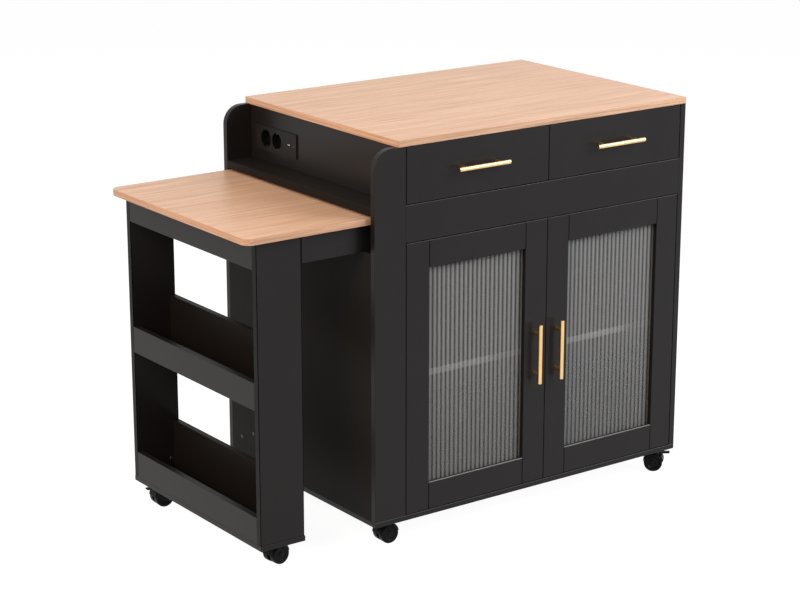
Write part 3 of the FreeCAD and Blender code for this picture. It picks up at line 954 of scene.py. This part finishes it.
def lit_arris(node: str, body: str, width: float = 0.9, proud: float = 0.06) -> None:
    """The upper front arris of a board, drawn as a grey strip: a painted highlight for the thin line of
    light that its trimmed edge band catches.

    Args:
        node: the board's CAD node.
        body: the body that it rides on.
        width: how wide the trimmed arris is, in millimetres.
        proud: how far it is drawn outside the board, in millimetres, to be seen.
    """
    low, high = corners(node)
    start = (low.x, low.y - proud, high.z - width)
    end = (high.x, low.y + width, high.z + proud)
    strip = eased_block(start, end, proud / 2)
    add_piece(f"{node}_arris", strip, ARRIS_HIGHLIGHT, body)


@dataclass(frozen=True)
class CrossHead:
    """A pan-head screw with a cross recess, seen from above. Its seat is at Z=0."""

    radius: float
    height: float
    arm_share: float = 0.58
    slot_share: float = 0.13
    recess_draft: float = 0.02
    rim: float = 0.35

    def shape(self) -> bmesh.types.BMesh:
        """Makes the head about its own origin, from a grid whose rim is drawn to a circle.

        Returns:
            The mesh, in metres.
        """
        shape = bmesh.new()
        cells = 5
        bmesh.ops.create_grid(shape, x_segments=cells, y_segments=cells, size=1.0)
        middle = (cells - 1) / 2
        recess = []
        for face in shape.faces:
            column, row = [round((value + 1) * cells / 2 - 0.5) for value in face.calc_center_median().xy]
            near = max(abs(column - middle), abs(row - middle)) <= 1
            if near and (column == middle or row == middle):
                recess.append(face)
        shares = (-1.0, -self.arm_share, -self.slot_share, self.slot_share, self.arm_share, 1.0)
        for point in shape.verts:
            column, row = [round((value + 1) * cells / 2) for value in point.co.xy]
            if column in (0, cells) or row in (0, cells):
                point.co = point.co.normalized() * self.radius * MM
            else:
                point.co = Vector((shares[column], shares[row], 0)) * self.radius * MM
        rim = [edge for edge in shape.edges if edge.is_boundary]
        bmesh.ops.inset_region(
            shape, faces=recess, thickness=self.recess_draft * MM, depth=-self.height / 2 * MM
        )
        bmesh.ops.translate(shape, vec=UP * self.height * MM, verts=shape.verts)
        skirt = bmesh.ops.extrude_edge_only(shape, edges=rim)["geom"]
        foot = [item for item in skirt if isinstance(item, bmesh.types.BMVert)]
        for point in foot:
            point.co.z = 0
        round_edges(shape, rim, self.rim)
        return shape


CAM_CAP = CrossHead(radius=4.2, height=0.8)


def screw_group(
    name: str,
    head: CrossHead,
    places: Iterable[Matrix],
    body: str,
    finish: Finish = ZINC_PLATE,
) -> None:
    """Makes one piece of several like screw heads.

    Args:
        name: the piece's name.
        head: the form of each head.
        places: where each head goes.
        body: the body that they ride on.
        finish: their finish.
    """
    group = bmesh.new()
    stamp(group, head.shape(), places)
    add_piece(name, group, finish, body)


@dataclass(frozen=True)
class HandleFixing:
    """The two screws that hold a bar handle, on the back of the board that it stands on."""

    screw: CrossHead = CrossHead(radius=3.8, height=1.6)
    hole_spacing: float = 96.0

    def build(self, handle: str, board: str, body: str, way: Vector) -> None:
        """Makes the screws.

        Args:
            handle: the handle's CAD node, whose name theirs begins with.
            board: the board's CAD node.
            body: the body that they ride on.
            way: the direction that the handle runs in.
        """
        low, high = corners(handle)
        middle = (low + high) / 2
        middle.y = corners(board)[1].y
        half = self.hole_spacing / 2
        places = [facing(middle + way * offset, (0, 1, 0), spin=offset) for offset in (-half, half)]
        screw_group(f"{handle}_screws", self.screw, places, body)


@dataclass
class Carcass:
    """The cabinet's boards, its worktop, and the small fixings that hold them."""

    boards: tuple[str, ...] = (
        "front_stile",
        "back_stile",
        "right_end_panel",
        "bottom_board",
        "niche_wall",
        "front_rail",
        "back_panel",
    )
    dull_boards: tuple[str, ...] = (
        "left_end_panel",
        "mid_deck",
        "bay_floor",
        "drawer_divider",
        "hinge_post",
        "inner_shelf",
    )
    band_thickness: float = 0.8
    panel_screw: CrossHead = CrossHead(radius=3.0, height=1.0)
    panel_screw_spacing: float = 118.0
    panel_screw_inset: float = 12.0
    panel_screw_turn: float = 37.0
    cap: CrossHead = CAM_CAP
    cap_places: tuple[tuple[float, float], ...] = ((259.0, 115.0), (208.0, 136.0))
    cap_turn: float = 20.0

    def build(self) -> None:
        """Dresses the boards, and adds the shelf's edge band with its painted highlight, the fixings and
        two painted arris highlights.
        """
        dress(BLACK_MELAMINE, *self.boards)
        dress(CARCASS_MELAMINE, *self.dull_boards)
        dress(OAK_MELAMINE, "worktop")
        dress(ZINC_PLATE, "shelf_pins", "cabinet_caster_plates")
        self.shelf_band()
        self.panel_screws()
        self.joint_caps()
        for node in ("front_rail", "bottom_board"):
            lit_arris(node, "cabinet")

    def shelf_band(self) -> None:
        """The pale band on the inner shelf's front edge, which shows as a light line behind the glass. Its
        pale colour is a painted highlight of the lit edge.
        """
        low, high = corners("inner_shelf")
        half = self.band_thickness / 2
        band = eased_block((low.x, low.y - half, low.z), (high.x, low.y + half, high.z), half / 2)
        add_piece("inner_shelf_band_painted_highlight", band, SHELF_EDGE_HIGHLIGHT, "cabinet")

    def panel_screws(self) -> None:
        """Small screws round the back panel."""
        low, high = corners("back_panel")
        face = high.y
        columns = round((high.x - low.x) / self.panel_screw_spacing)
        rows = round((high.z - low.z) / self.panel_screw_spacing)
        inset = Vector((self.panel_screw_inset, 0, self.panel_screw_inset))
        inner_low, inner_high = low + inset, high - inset
        across = [inner_low.x + (inner_high.x - inner_low.x) * k / columns for k in range(columns + 1)]
        upward = [inner_low.z + (inner_high.z - inner_low.z) * k / rows for k in range(1, rows)]
        points = [(x, face, z) for x in across for z in (inner_low.z, inner_high.z)]
        points += [(x, face, z) for x in (inner_low.x, inner_high.x) for z in upward]
        places = [
            facing(point, (0, 1, 0), spin=self.panel_screw_turn * k) for k, point in enumerate(points)
        ]
        screw_group("back_panel_screws", self.panel_screw, places, "cabinet")

    def joint_caps(self) -> None:
        """Two caps over the cam fittings low on the left end panel."""
        face = corners("left_end_panel")[0].x
        places = [
            facing((face, y, z), (-1, 0, 0), spin=self.cap_turn * k)
            for k, (y, z) in enumerate(self.cap_places)
        ]
        # The caps are darker than the leg's nickel caps: painted shade, where the leg unit shades the end
        # panel.
        screw_group("end_panel_cam_caps", self.cap, places, "cabinet", DARK_STEEL_AND_SHADE)


@dataclass
class PowerStrip:
    """The power strip in the niche: housing, sockets with their earth clips, and a charging port."""

    screw: CrossHead = CrossHead(radius=2.6, height=0.6)
    screw_inset: float = 9.0
    screw_turn: float = 30.0
    socket_from_end: float = 43.0
    socket_spacing: float = 45.0
    well_radius: float = 19.5
    clip_width: float = 6.0
    clip_thickness: float = 0.7
    clip_bends: tuple[tuple[float, float], ...] = (
        (0.1, 0.8),
        (1.2, 3.0),
        (2.3, 7.0),
        (1.6, 11.0),
        (0.3, 14.0),
    )
    port_from_start: float = 32.0
    tongue: tuple[float, float, float] = (7.5, 9.6, 1.7)
    tongue_setback: float = 0.6
    tongue_ease: float = 0.25

    def build(self) -> None:
        """Dresses the strip and adds its screws, earth clips and port tongue."""
        dress(STRIP_ABS, "power_strip_housing")
        dress(SOCKET_PLASTIC, "power_strip_inserts")
        self.face_screws()
        self.earth_clips()
        self.port_tongue()

    def on_face(self, y: float, spin: float) -> Matrix:
        """Gives a place on the middle line of the strip's face.

        Args:
            y: how far back it lies, in millimetres.
            spin: how far what goes there is turned, in degrees.

        Returns:
            The transform, in metres.
        """
        low, high = corners("power_strip_housing")
        return facing((low.x, y, (low.z + high.z) / 2), (-1, 0, 0), spin)

    def face_screws(self) -> None:
        """A screw near each end of the face."""
        low, high = corners("power_strip_housing")
        ends = (low.y + self.screw_inset, high.y - self.screw_inset)
        places = [self.on_face(y, self.screw_turn * k) for k, y in enumerate(ends)]
        screw_group("power_strip_screws", self.screw, places, "cabinet", DARK_STEEL_AND_SHADE)

    def earth_clips(self) -> None:
        """Two earth contacts in each well, across from one another."""
        first = corners("power_strip_housing")[1].y - self.socket_from_end
        clips = bmesh.new()
        for y in (first, first - self.socket_spacing):
            for turn in (0.0, 180.0):
                stamp(clips, self.clip(), [self.on_face(y, turn)])
        add_piece("earth_clips", clips, NICKEL_PLATE, "cabinet")

    def port_tongue(self) -> None:
        """The tongue that stands in the slot of the charging port."""
        low, high = corners("power_strip_housing")
        middle_z = (low.z + high.z) / 2
        reach, width, height = self.tongue
        y = low.y + self.port_from_start
        x = low.x + self.tongue_setback
        start = (x, y - width / 2, middle_z - height / 2)
        end = (x + reach, y + width / 2, middle_z + height / 2)
        block = eased_block(start, end, self.tongue_ease)
        add_piece("charging_port_tongue", block, PORT_TONGUE, "cabinet")

    def clip(self) -> bmesh.types.BMesh:
        """A sprung earth contact on the +Y side of its well.

        Each bend of the strip is given by how far it stands in from the wall and how deep it lies.

        Returns:
            The mesh, in metres, about the middle of the well's mouth.
        """
        bends = [(self.well_radius - inward, -depth) for inward, depth in self.clip_bends]
        shape = bmesh.new()
        half = self.clip_width / 2
        line = [shape.verts.new(Vector((-half, y, z)) * MM) for y, z in bends]
        edges = [shape.edges.new(pair) for pair in zip(line, line[1:])]
        swept = bmesh.ops.extrude_edge_only(shape, edges=edges)["geom"]
        moved = [item for item in swept if isinstance(item, bmesh.types.BMVert)]
        bmesh.ops.translate(shape, vec=(self.clip_width * MM, 0, 0), verts=moved)
        bmesh.ops.solidify(shape, geom=shape.faces[:], thickness=self.clip_thickness * MM)
        return shape


@dataclass
class Door:
    """A framed door with its reeded pane, handle and hinge cups."""

    side: Side
    frame_width: float = 62.0
    rib_pitch: float = 12.5
    strip_size: tuple[float, float] = (1.1, 2.8)
    strip_setback: float = 0.3
    clip_size: tuple[float, float, float] = (12.0, 18.0, 2.2)
    clip_ease: float = 0.5
    clip_shares: tuple[float, float] = (0.2, 0.8)
    clip_screw: CrossHead = CrossHead(radius=2.4, height=0.9)
    handle_fixing: HandleFixing = HandleFixing()
    cup_screw: CrossHead = CrossHead(radius=3.2, height=1.1)
    cup_screw_spacing: float = 42.0
    cup_flange_half: float = 26.0

    @property
    def body(self) -> str:
        """The name of its body, which its nodes' and pieces' names begin with."""
        return f"{self.side.value}_door"

    def build(self) -> None:
        """Dresses the door, and adds its painted arris highlight, the painted highlight strip below its
        pane and the fixings.
        """
        board = f"{self.body}_frame"
        low, high = corners(board)
        middle = (low + high) / 2
        half = (high - low) / 2 - Vector([self.frame_width] * 3)
        name = f"framed_melamine_{self.side.value}"
        # The frame's finish paints shade into the joints of its stiles and rails.
        dress(FramedMelamine(name, middle=(middle.x, middle.z), half=(half.x, half.z)), board)
        dress(NICKEL_PLATE, f"{self.body}_hinge_cups")
        dress(UPRIGHT_BRASS, f"{self.body}_handle")
        lit_arris(board, self.body)
        self.pane()
        self.ledge_highlight_strip()
        self.glass_clips()
        self.handle_fixing.build(f"{self.body}_handle", board, self.body, UP)
        self.cup_screws()

    def pane(self) -> None:
        """Dresses the pane with reeds that match its own ribs."""
        low, high = corners(f"{self.body}_glass")
        width = high.x - low.x
        finish = ReededGlass(
            f"reeded_glass_{self.side.value}",
            first_valley=low.x,
            pitch=width / round(width / self.rib_pitch),
            foot=low.z,
            top=(low.z + high.z) / 2,
        )
        dress(finish, f"{self.body}_glass")

    def ledge_highlight_strip(self) -> None:
        """The thin grey strip along the front edge of the ledge below the pane: a painted highlight of that
        lit edge.
        """
        frame_low, frame_high = corners(f"{self.body}_frame")
        height, depth = self.strip_size
        start = frame_low + Vector([self.frame_width] * 3)
        front = frame_low.y + self.strip_setback
        foot = (start.x, front, start.z)
        end = (frame_high.x - self.frame_width, front + depth, start.z + height)
        block = eased_block(foot, end, height / 4)
        add_piece(f"{self.body}_glazing_strip", block, LEDGE_HIGHLIGHT, self.body)

    def glass_clips(self) -> None:
        """Eight clips that hold the pane in its rabbet, each with a screw."""
        low, high = corners(f"{self.body}_glass")
        back = corners(f"{self.body}_frame")[1].y
        reach, length, thickness = self.clip_size
        clips = bmesh.new()
        places = []
        for share in self.clip_shares:
            z = low.z + (high.z - low.z) * share
            x = low.x + (high.x - low.x) * share
            spots = [(low.x, z, 0.0), (high.x, z, 180.0), (x, low.z, 90.0), (x, high.z, 270.0)]
            for spot_x, spot_z, turn in spots:
                start, end = (-reach, -length / 2, 0), (reach / 3, length / 2, thickness)
                block = eased_block(start, end, self.clip_ease)
                spin = Matrix.Rotation(math.radians(180 - turn), 4, "Z")
                place = facing((spot_x, back, spot_z), (0, 1, 0)) @ spin
                stamp(clips, block, [place])
                outer = place @ Matrix.Translation(Vector((-reach / 2, 0, thickness)) * MM)
                places.append(outer)
        add_piece(f"{self.body}_glass_clips", clips, CASTER_NYLON, self.body)
        screw_group(f"{self.body}_clip_screws", self.clip_screw, places, self.body)

    def cup_screws(self) -> None:
        """Two screws for each hinge cup. Their heads may stop at any turn, so a height gives it."""
        low, high = corners(f"{self.body}_hinge_cups")
        x = (low.x + high.x) / 2
        turn = (low.z + high.z) / 2
        places = []
        for centre in (low.z + self.cup_flange_half, high.z - self.cup_flange_half):
            for offset in (-self.cup_screw_spacing / 2, self.cup_screw_spacing / 2):
                places.append(facing((x, high.y, centre + offset), (0, 1, 0), spin=turn + offset))
        screw_group(f"{self.body}_cup_screws", self.cup_screw, places, self.body)


@dataclass
class Drawer:
    """An inset drawer with its box, handle and runner slides."""

    side: Side
    handle_fixing: HandleFixing = HandleFixing()

    def build(self) -> None:
        """Dresses the drawer and adds the handle's screws inside it."""
        body = f"{self.side.value}_drawer"
        dress(BLACK_MELAMINE, f"{body}_front")
        dress(DRAWER_MELAMINE, f"{body}_box")
        dress(LEVEL_BRASS, f"{body}_handle")
        dress(ZINC_PLATE, f"{body}_slides")
        self.handle_fixing.build(f"{body}_handle", f"{body}_front", body, ALONG)


@dataclass
class SideTable:
    """The sliding table top, its aprons, and the open shelf leg under its outer end."""

    boards: tuple[str, ...] = (
        "leg_bottom_board",
        "leg_outer_rails",
    )
    dull_boards: tuple[str, ...] = (
        "table_inner_rail",
        "leg_middle_shelf",
        "leg_inner_rails",
    )
    joint_width: float = 3.4
    joint_drop: float = 1.0
    cap: CrossHead = CAM_CAP
    cap_height: float = 96.0
    cap_from_outside: float = 90.0
    cap_turns: tuple[float, float] = (15.0, 65.0)

    def build(self) -> None:
        """Dresses the side table and adds the caps over its cam fittings."""
        dress(BLACK_MELAMINE, *self.boards)
        dress(CARCASS_MELAMINE, *self.dull_boards)
        self.lined_boards()
        dress(OAK_MELAMINE, "table_top")
        dress(ZINC_PLATE, "leg_caster_plates")
        self.joint_caps()

    def lined_boards(self) -> None:
        """Dresses the aprons and the leg's panels, with a line of painted shade down each of their ends, at
        the joint.
        """
        for node in ("table_aprons", "leg_front_panel", "leg_back_panel"):
            low, high = corners(node)
            foot = ((low.x + high.x) / 2, low.z - self.joint_drop)
            half = ((high.x - low.x) / 2, 0.0)
            finish = FramedMelamine(
                f"{node}_melamine", middle=foot, half=half, line_width=self.joint_width
            )
            dress(finish, node)

    def joint_caps(self) -> None:
        """A cap low on the inner face of each of the leg's panels, over its cam fitting."""
        back_panel_low = corners("leg_back_panel")[0]
        x = back_panel_low.x + self.cap_from_outside
        front_inner = corners("leg_front_panel")[1].y
        back_turn, front_turn = self.cap_turns
        places = [
            facing((x, back_panel_low.y, self.cap_height), (0, -1, 0), spin=back_turn),
            facing((x, front_inner, self.cap_height), (0, 1, 0), spin=front_turn),
        ]
        screw_group("leg_cam_caps", self.cap, places, "side_table", NICKEL_PLATE)


@dataclass
class Caster:
    """A twin-wheel swivel caster: hood and kingpin, two wheels on an axle, and a brake lever."""

    name: str
    braked: bool
    steps: int = 56
    wheel_radius: float = 22.5
    inner_face: float = 4.6
    outer_face: float = 19.6
    axle_radius: float = 2.5
    axle_end: float = 13.0
    shoulder: float = 2.6
    shoulder_turns: tuple[float, ...] = (90, 67, 45, 22, 0)
    tread_groove: float = 0.5
    ring_radius: float = 17.0
    ring_depth: float = 0.6
    dish_radius: float = 14.5
    dish_depth: float = 2.0
    cap_radius: float = 7.0

    def build(self) -> None:
        """Dresses the hood and the lever, and makes the wheels."""
        dress(CASTER_NYLON, f"caster_hood_{self.name}")
        if self.braked:
            dress(CASTER_NYLON, f"caster_brake_{self.name}")
        joint = next(item for item in frame["joints"] if item["name"] == f"wheel_spin_{self.name}")
        axis = Vector(joint["axis"]).normalized()
        centre = Vector(joint["pos_m"]) / MM
        both_ways = [facing(centre, axis), facing(centre, -axis)]
        wheels = bmesh.new()
        stamp(wheels, turned(self.wheel_outline(), self.steps), both_ways)
        radius, end = self.axle_radius, self.axle_end
        axle = [(0.0, -end), (radius, -end), (radius, end), (0.0, end)]
        stamp(wheels, turned(axle, self.steps // 2), [facing(centre, axis)])
        body = f"wheels_{self.name}"
        replaced = [f"caster_wheels_{self.name}"]
        add_piece(f"twin_wheels_{self.name}", wheels, WHEEL_NYLON, body, replaced)

    def wheel_outline(self) -> list[tuple[float, float]]:
        """Works out one wheel's section, from its bore over its tread to its cap.

        Returns:
            Each point's radius and its distance from the middle of the axle, in millimetres.
        """
        inner, outer, rim = self.inner_face, self.outer_face, self.wheel_radius
        middle = (inner + outer) / 2
        groove = self.tread_groove
        round_off = [
            (rim - self.shoulder * (1 - math.sin(angle)), outer - self.shoulder * (1 - math.cos(angle)))
            for angle in map(math.radians, self.shoulder_turns)
        ]
        ring = [
            (self.ring_radius + groove, outer),
            (self.ring_radius, outer - self.ring_depth),
            (self.ring_radius - groove, outer - self.ring_depth),
            (self.ring_radius - groove * 2, outer),
        ]
        floor = outer - self.dish_depth
        dish = [
            (self.dish_radius, outer),
            (self.dish_radius - self.dish_depth, floor),
            (self.cap_radius + groove, floor),
            (self.cap_radius, floor + groove),
            (self.cap_radius - groove, outer - groove),
            (self.cap_radius / 2, outer - groove / 2),
            (0.0, outer),
        ]
        tread = [
            (self.axle_radius, inner),
            (rim - groove * 2, inner),
            (rim, inner + groove * 2),
            (rim, middle - groove),
            (rim - groove, middle - groove / 2),
            (rim - groove, middle + groove / 2),
            (rim, middle + groove),
        ]
        return tread + round_off + ring + dish


@dataclass
class Hinges:
    """The hinge arms on the cabinet, with their screws, and the channels of the drawer runners."""

    screw: CrossHead = CrossHead(radius=3.4, height=1.3)
    plate_from_back: float = 9.0
    plate_thickness: float = 2.0
    plate_half_height: float = 17.0
    screw_half_spacing: float = 11.0

    def build(self) -> None:
        """Dresses the arms and the channels, and adds two screws to each mounting plate."""
        dress(NICKEL_PLATE, "door_hinge_arms")
        low, high = corners("door_hinge_arms")
        y = high.y - self.plate_from_back
        places = []
        for z in (low.z + self.plate_half_height, high.z - self.plate_half_height):
            for offset in (-self.screw_half_spacing, self.screw_half_spacing):
                left = (low.x + self.plate_thickness, y, z + offset)
                right = (high.x - self.plate_thickness, y, z + offset)
                places.append(facing(left, (1, 0, 0), spin=offset))
                places.append(facing(right, (-1, 0, 0), spin=-offset))
        screw_group("hinge_plate_screws", self.screw, places, "cabinet")
        dress(ZINC_PLATE, "drawer_runner_channels")


@dataclass(frozen=True)
class Softbox:
    """A square lamp that looks at the island's middle."""

    name: str
    place: tuple[float, float, float]
    side: float
    power: float
    colour: str

    def build(self, target: Vector) -> None:
        """Sets up the lamp. Its place and side are in metres.

        Args:
            target: the point that it looks at.
        """
        lamp = bpy.data.lights.new(self.name, "AREA")
        lamp.shape = "SQUARE"
        lamp.size = self.side
        lamp.energy = self.power
        lamp.color = linear(self.colour)[:3]
        holder = bpy.data.objects.new(self.name, lamp)
        holder.location = self.place
        holder.rotation_euler = (target - Vector(self.place)).to_track_quat("-Z", "Y").to_euler()
        bpy.context.scene.collection.objects.link(holder)


@dataclass
class Studio:
    """White studio: floor, world, lamps and the camera at the photograph's place.

    Its lengths are in metres, but for the lens and the sensor, which are in millimetres.
    """

    camera_place: tuple[float, float, float] = (-2.99432, -4.09917, 1.94115)
    camera_yaw: float = 36.0499
    camera_pitch: float = 16.1987
    camera_roll: float = -0.0314
    lens: float = 101.747
    sensor_width: float = 36.0
    clip_range: tuple[float, float] = (0.05, 200.0)
    floor_side: float = 60.0
    floor_colour: str = "#808080"
    floor_roughness: float = 0.9
    ambient: float = 0.12
    backdrop_glow: float = 0.955
    ambient_colour: str = "#fdfcfb"
    lamps: tuple[Softbox, ...] = (
        Softbox("softbox_left", (-3.0, -1.1, 2.2), 2.0, 90.0, "#ffe9d8"),
        Softbox("softbox_front", (2.0, -2.3, 2.3), 2.0, 100.0, "#fcfbff"),
        Softbox("softbox_top", (-0.4, 0.6, 4.0), 2.4, 40.0, "#fffdf8"),
        Softbox("softbox_right", (1.9, -0.1, 3.1), 0.6, 5.0, "#fffefc"),
    )

    def build(self) -> None:
        """Makes the camera first, then the world, the floor and the lamps."""
        self.make_camera()
        self.make_world()
        self.make_floor()
        low, high = cad_box
        for lamp in self.lamps:
            lamp.build((low + high) / 2)
        bpy.context.scene.view_settings.view_transform = "Standard"

    def make_camera(self) -> None:
        """Sets the camera where the photograph was taken from."""
        data = bpy.data.cameras.new("camera")
        data.lens = self.lens
        data.sensor_width = self.sensor_width
        data.clip_start, data.clip_end = self.clip_range
        camera = bpy.data.objects.new("camera", data)
        camera.location = self.camera_place
        turn = Matrix.Rotation(math.radians(-self.camera_yaw), 4, "Z")
        tilt = Matrix.Rotation(math.radians(90 - self.camera_pitch), 4, "X")
        roll = Matrix.Rotation(math.radians(-self.camera_roll), 4, "Z")
        camera.rotation_euler = (turn @ tilt @ roll).to_euler()
        bpy.context.scene.collection.objects.link(camera)
        bpy.context.scene.camera = camera

    def make_world(self) -> None:
        """A white backdrop to the eye and to reflections, and a softer light on matt surfaces."""
        world = bpy.data.worlds.new("studio")
        world.use_nodes = True
        tree = world.node_tree
        tree.nodes.clear()
        light = add_node(
            tree,
            "ShaderNodeBackground",
            {"Color": linear(self.ambient_colour), "Strength": self.ambient},
        )
        backdrop = add_node(tree, "ShaderNodeBackground", {"Color": linear(WHITE), "Strength": 1.0})
        mixed = add_node(
            tree,
            "ShaderNodeMixShader",
            links={0: seen_rays(tree), 1: light.outputs[0], 2: backdrop.outputs[0]},
        )
        add_node(tree, "ShaderNodeOutputWorld", links={"Surface": mixed.outputs[0]})
        bpy.context.scene.world = world

    def make_floor(self) -> None:
        """A pale floor that keeps the island's shadow and reads as white away from it."""
        shape = bmesh.new()
        bmesh.ops.create_grid(shape, x_segments=1, y_segments=1, size=self.floor_side / 2)
        mesh = bpy.data.meshes.new("studio_floor")
        shape.to_mesh(mesh)
        shape.free()
        floor = bpy.data.objects.new("studio_floor", mesh)
        bpy.context.scene.collection.objects.link(floor)
        # Backdrop: matt painted board. A glow that only sight and reflections meet turns it white.
        material = bpy.data.materials.new("matt_white_backdrop")
        material.use_nodes = True
        tree = material.node_tree
        shader = tree.nodes["Principled BSDF"]
        shader.inputs["Base Color"].default_value = linear(self.floor_colour)
        shader.inputs["Roughness"].default_value = self.floor_roughness
        shader.inputs["Specular IOR Level"].default_value = 0.0
        shader.inputs["Emission Color"].default_value = linear(WHITE)
        glow = add_node(
            tree, "ShaderNodeMath", {"operation": "MULTIPLY", 1: self.backdrop_glow}, {0: seen_rays(tree)}
        )
        tree.links.new(glow.outputs[0], shader.inputs["Emission Strength"])
        mesh.materials.append(material)


def main() -> None:
    """Builds the studio and every sub-assembly."""
    logging.basicConfig(level=logging.INFO, format="%(name)s: %(message)s")
    Studio().build()
    builders: list[Callable[[], None]] = [
        Carcass().build,
        PowerStrip().build,
        Hinges().build,
        *[Door(side).build for side in Side],
        *[Drawer(side).build for side in Side],
        SideTable().build,
    ]
    braked = ("front_right", "leg_back")
    names = ("front_left", "front_right", "back_left", "back_right", "leg_front", "leg_back")
    builders += [Caster(name, name in braked).build for name in names]
    for build in builders:
        build()


if __name__ == "__main__":
    main()
